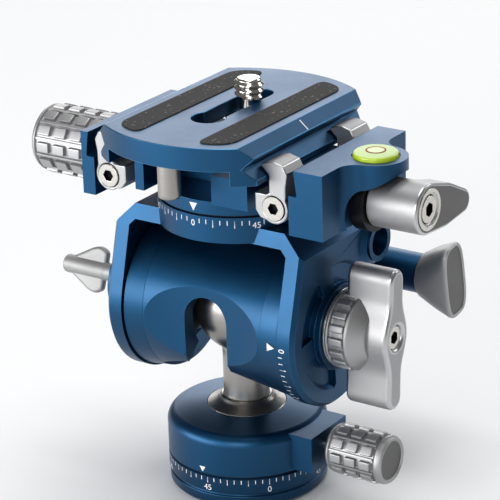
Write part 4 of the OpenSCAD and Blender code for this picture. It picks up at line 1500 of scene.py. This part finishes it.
@dataclass
class CameraPlate:
    """Dovetail plate with rubber strips, stop pins and camera screw."""

    top: float = 85.9
    screw_y: float = 4.5
    screw_r: float = 3.175
    thread_z: float = 86.15
    screw_top: float = 90.45
    pitch: float = 1.27
    thread_ridge: float = 0.55
    thread_lead: float = 0.4
    thread_short: float = 1.1
    core_r: float = 2.575
    head_r: float = 5.2
    head_high: float = 2.2
    shank_r: float = 2.2
    pin_r: float = 2.4
    pin_low: float = 73.0
    pin_high: float = 84.0
    pin_y: Point2 = (-25.1, 21.1)
    strip_x: Point2 = (7.15, 14.05)
    strip_low: float = 85.4
    strip_top: float = 86.15
    strip_round: float = 3.3
    line_y: Point2 = (-2.4, -2.0)
    line_top: Point2 = (16.73, 85.585)
    line_foot: Point2 = (18.78, 83.865)

    def build(self, thread: ScrewThread) -> None:
        """Builds the plate's pieces.

        Args:
            thread: the tree of the camera screw's thread.
        """
        softened("quick_release_plate", BLUE, BLUE_RIM_HIGHLIGHT, bevel=0.25, edit=self.fill_pockets)
        softened("screw_washer", NICKEL, bevel=0.1)
        self.strips()
        self.pins()
        self.screw(thread)
        (x0, z0), (x1, z1) = self.line_top, self.line_foot
        y0, y1 = self.line_y
        line = make("plate_middle_line", [(x0, y0, z0), (x0, y1, z0), (x1, y1, z1), (x1, y0, z1)],
                    [(0, 1, 2, 3)])
        fit(paint(line, WHITE_PAINT), "plate", WHITE_PAINT.slot)

    def fill_pockets(self, solid: bmesh.types.BMesh) -> None:
        """Closes the strips' pockets in the plate's top, where the strips' ends are rounder.

        Args:
            solid: the plate's mesh, in metres.
        """
        inner, outer = self.strip_x
        walls = [face for face in solid.faces if all(
            self.strip_low - 0.3 < vertex.co.z / MM < self.top + 0.05
            and inner - 0.1 < abs(vertex.co.x / MM) < outer + 0.1 for vertex in face.verts)]
        bmesh.ops.delete(solid, geom=walls, context="FACES")
        bmesh.ops.edgeloop_fill(solid, edges=[edge for edge in solid.edges if edge.is_boundary])
        bmesh.ops.recalc_face_normals(solid, faces=solid.faces)

    def strips(self) -> None:
        """Builds the two rubber strips with round ends."""
        spots = [vertex.co / MM for vertex in frame["nodes"]["rubber_strips"].data.vertices]
        items = []
        for side in (-1, 1):
            inner, outer = (side * x for x in self.strip_x)
            near = [spot.y for spot in spots if abs(spot.x - inner) < 0.02]
            far = [spot.y for spot in spots if abs(spot.x - outer) < 0.02]
            middle = (inner, (min(near) + max(near)) / 2)
            corners = [middle, (inner, min(near)), (outer, min(far)), (outer, max(far)),
                       (inner, max(near)), middle]
            loop = rounded(corners, self.strip_round, steps=8)[:-1]
            strip = prism("strip", loop, self.strip_low, self.strip_top, upright=True)
            items.append(paint(strip, RUBBER))
        item = shade(join("rubber_strips_cut", *items), bevel=0.2)
        fit(item, "plate", RUBBER.slot, "rubber_strips")

    def pins(self) -> None:
        """Builds the two stop pins with rounded lower ends."""
        outline = [(0, self.pin_low), (self.pin_r, self.pin_low), (self.pin_r, self.pin_high),
                   (0, self.pin_high)]
        items = [paint(lathe("pin", rounded(outline, radius=0.9, steps=6), Axis.UP, (0, y, 0)), STEEL)
                 for y in self.pin_y]
        fit(shade(join("stop_pins_ground", *items)), "plate", MIRROR.slot, "stop_pins")

    def screw(self, thread: ScrewThread) -> None:
        """Builds the camera screw with its thread.

        Args:
            thread: the tree of the thread.
        """
        lo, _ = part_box("camera_screw")
        low = lo.z / MM
        neck = low + self.head_high
        core = self.core_r
        top = self.screw_top
        outline = [(0, low), (self.head_r, low), (self.head_r, neck), (self.shank_r, neck),
                   (self.shank_r, self.thread_z), (core, self.thread_z), (core, top - 0.35),
                   (core - 0.35, top), (0, top)]
        body = lathe("camera_screw_threaded", rounded(outline, radius=0.15), Axis.UP,
                     (0, self.screw_y, 0))
        turns = (top - self.thread_z - self.thread_short) / self.pitch
        coil = thread.coil(self.screw_r - self.thread_ridge, turns, self.pitch, self.thread_ridge,
                           (0, self.screw_y, self.thread_z + self.thread_lead), MIRROR)
        item = join("camera_screw_threaded", paint(body, MIRROR), coil)
        fit(shade(item), "screw", MIRROR.slot, "camera_screw")


def main() -> None:
    """Builds the scene's classes in order."""
    logging.basicConfig(level=logging.INFO, format="%(message)s")
    PhotoCamera().build()
    Studio().build()
    repeat = RadialArray()
    thread = ScrewThread()
    PanBase().build(repeat, thread)
    BallStem().build()
    TiltBarrel().build(repeat)
    Yoke().build(repeat)
    TiltKnob().build(repeat)
    Clamp().build(repeat)
    CameraPlate().build(thread)


if __name__ == "__main__":
    main()
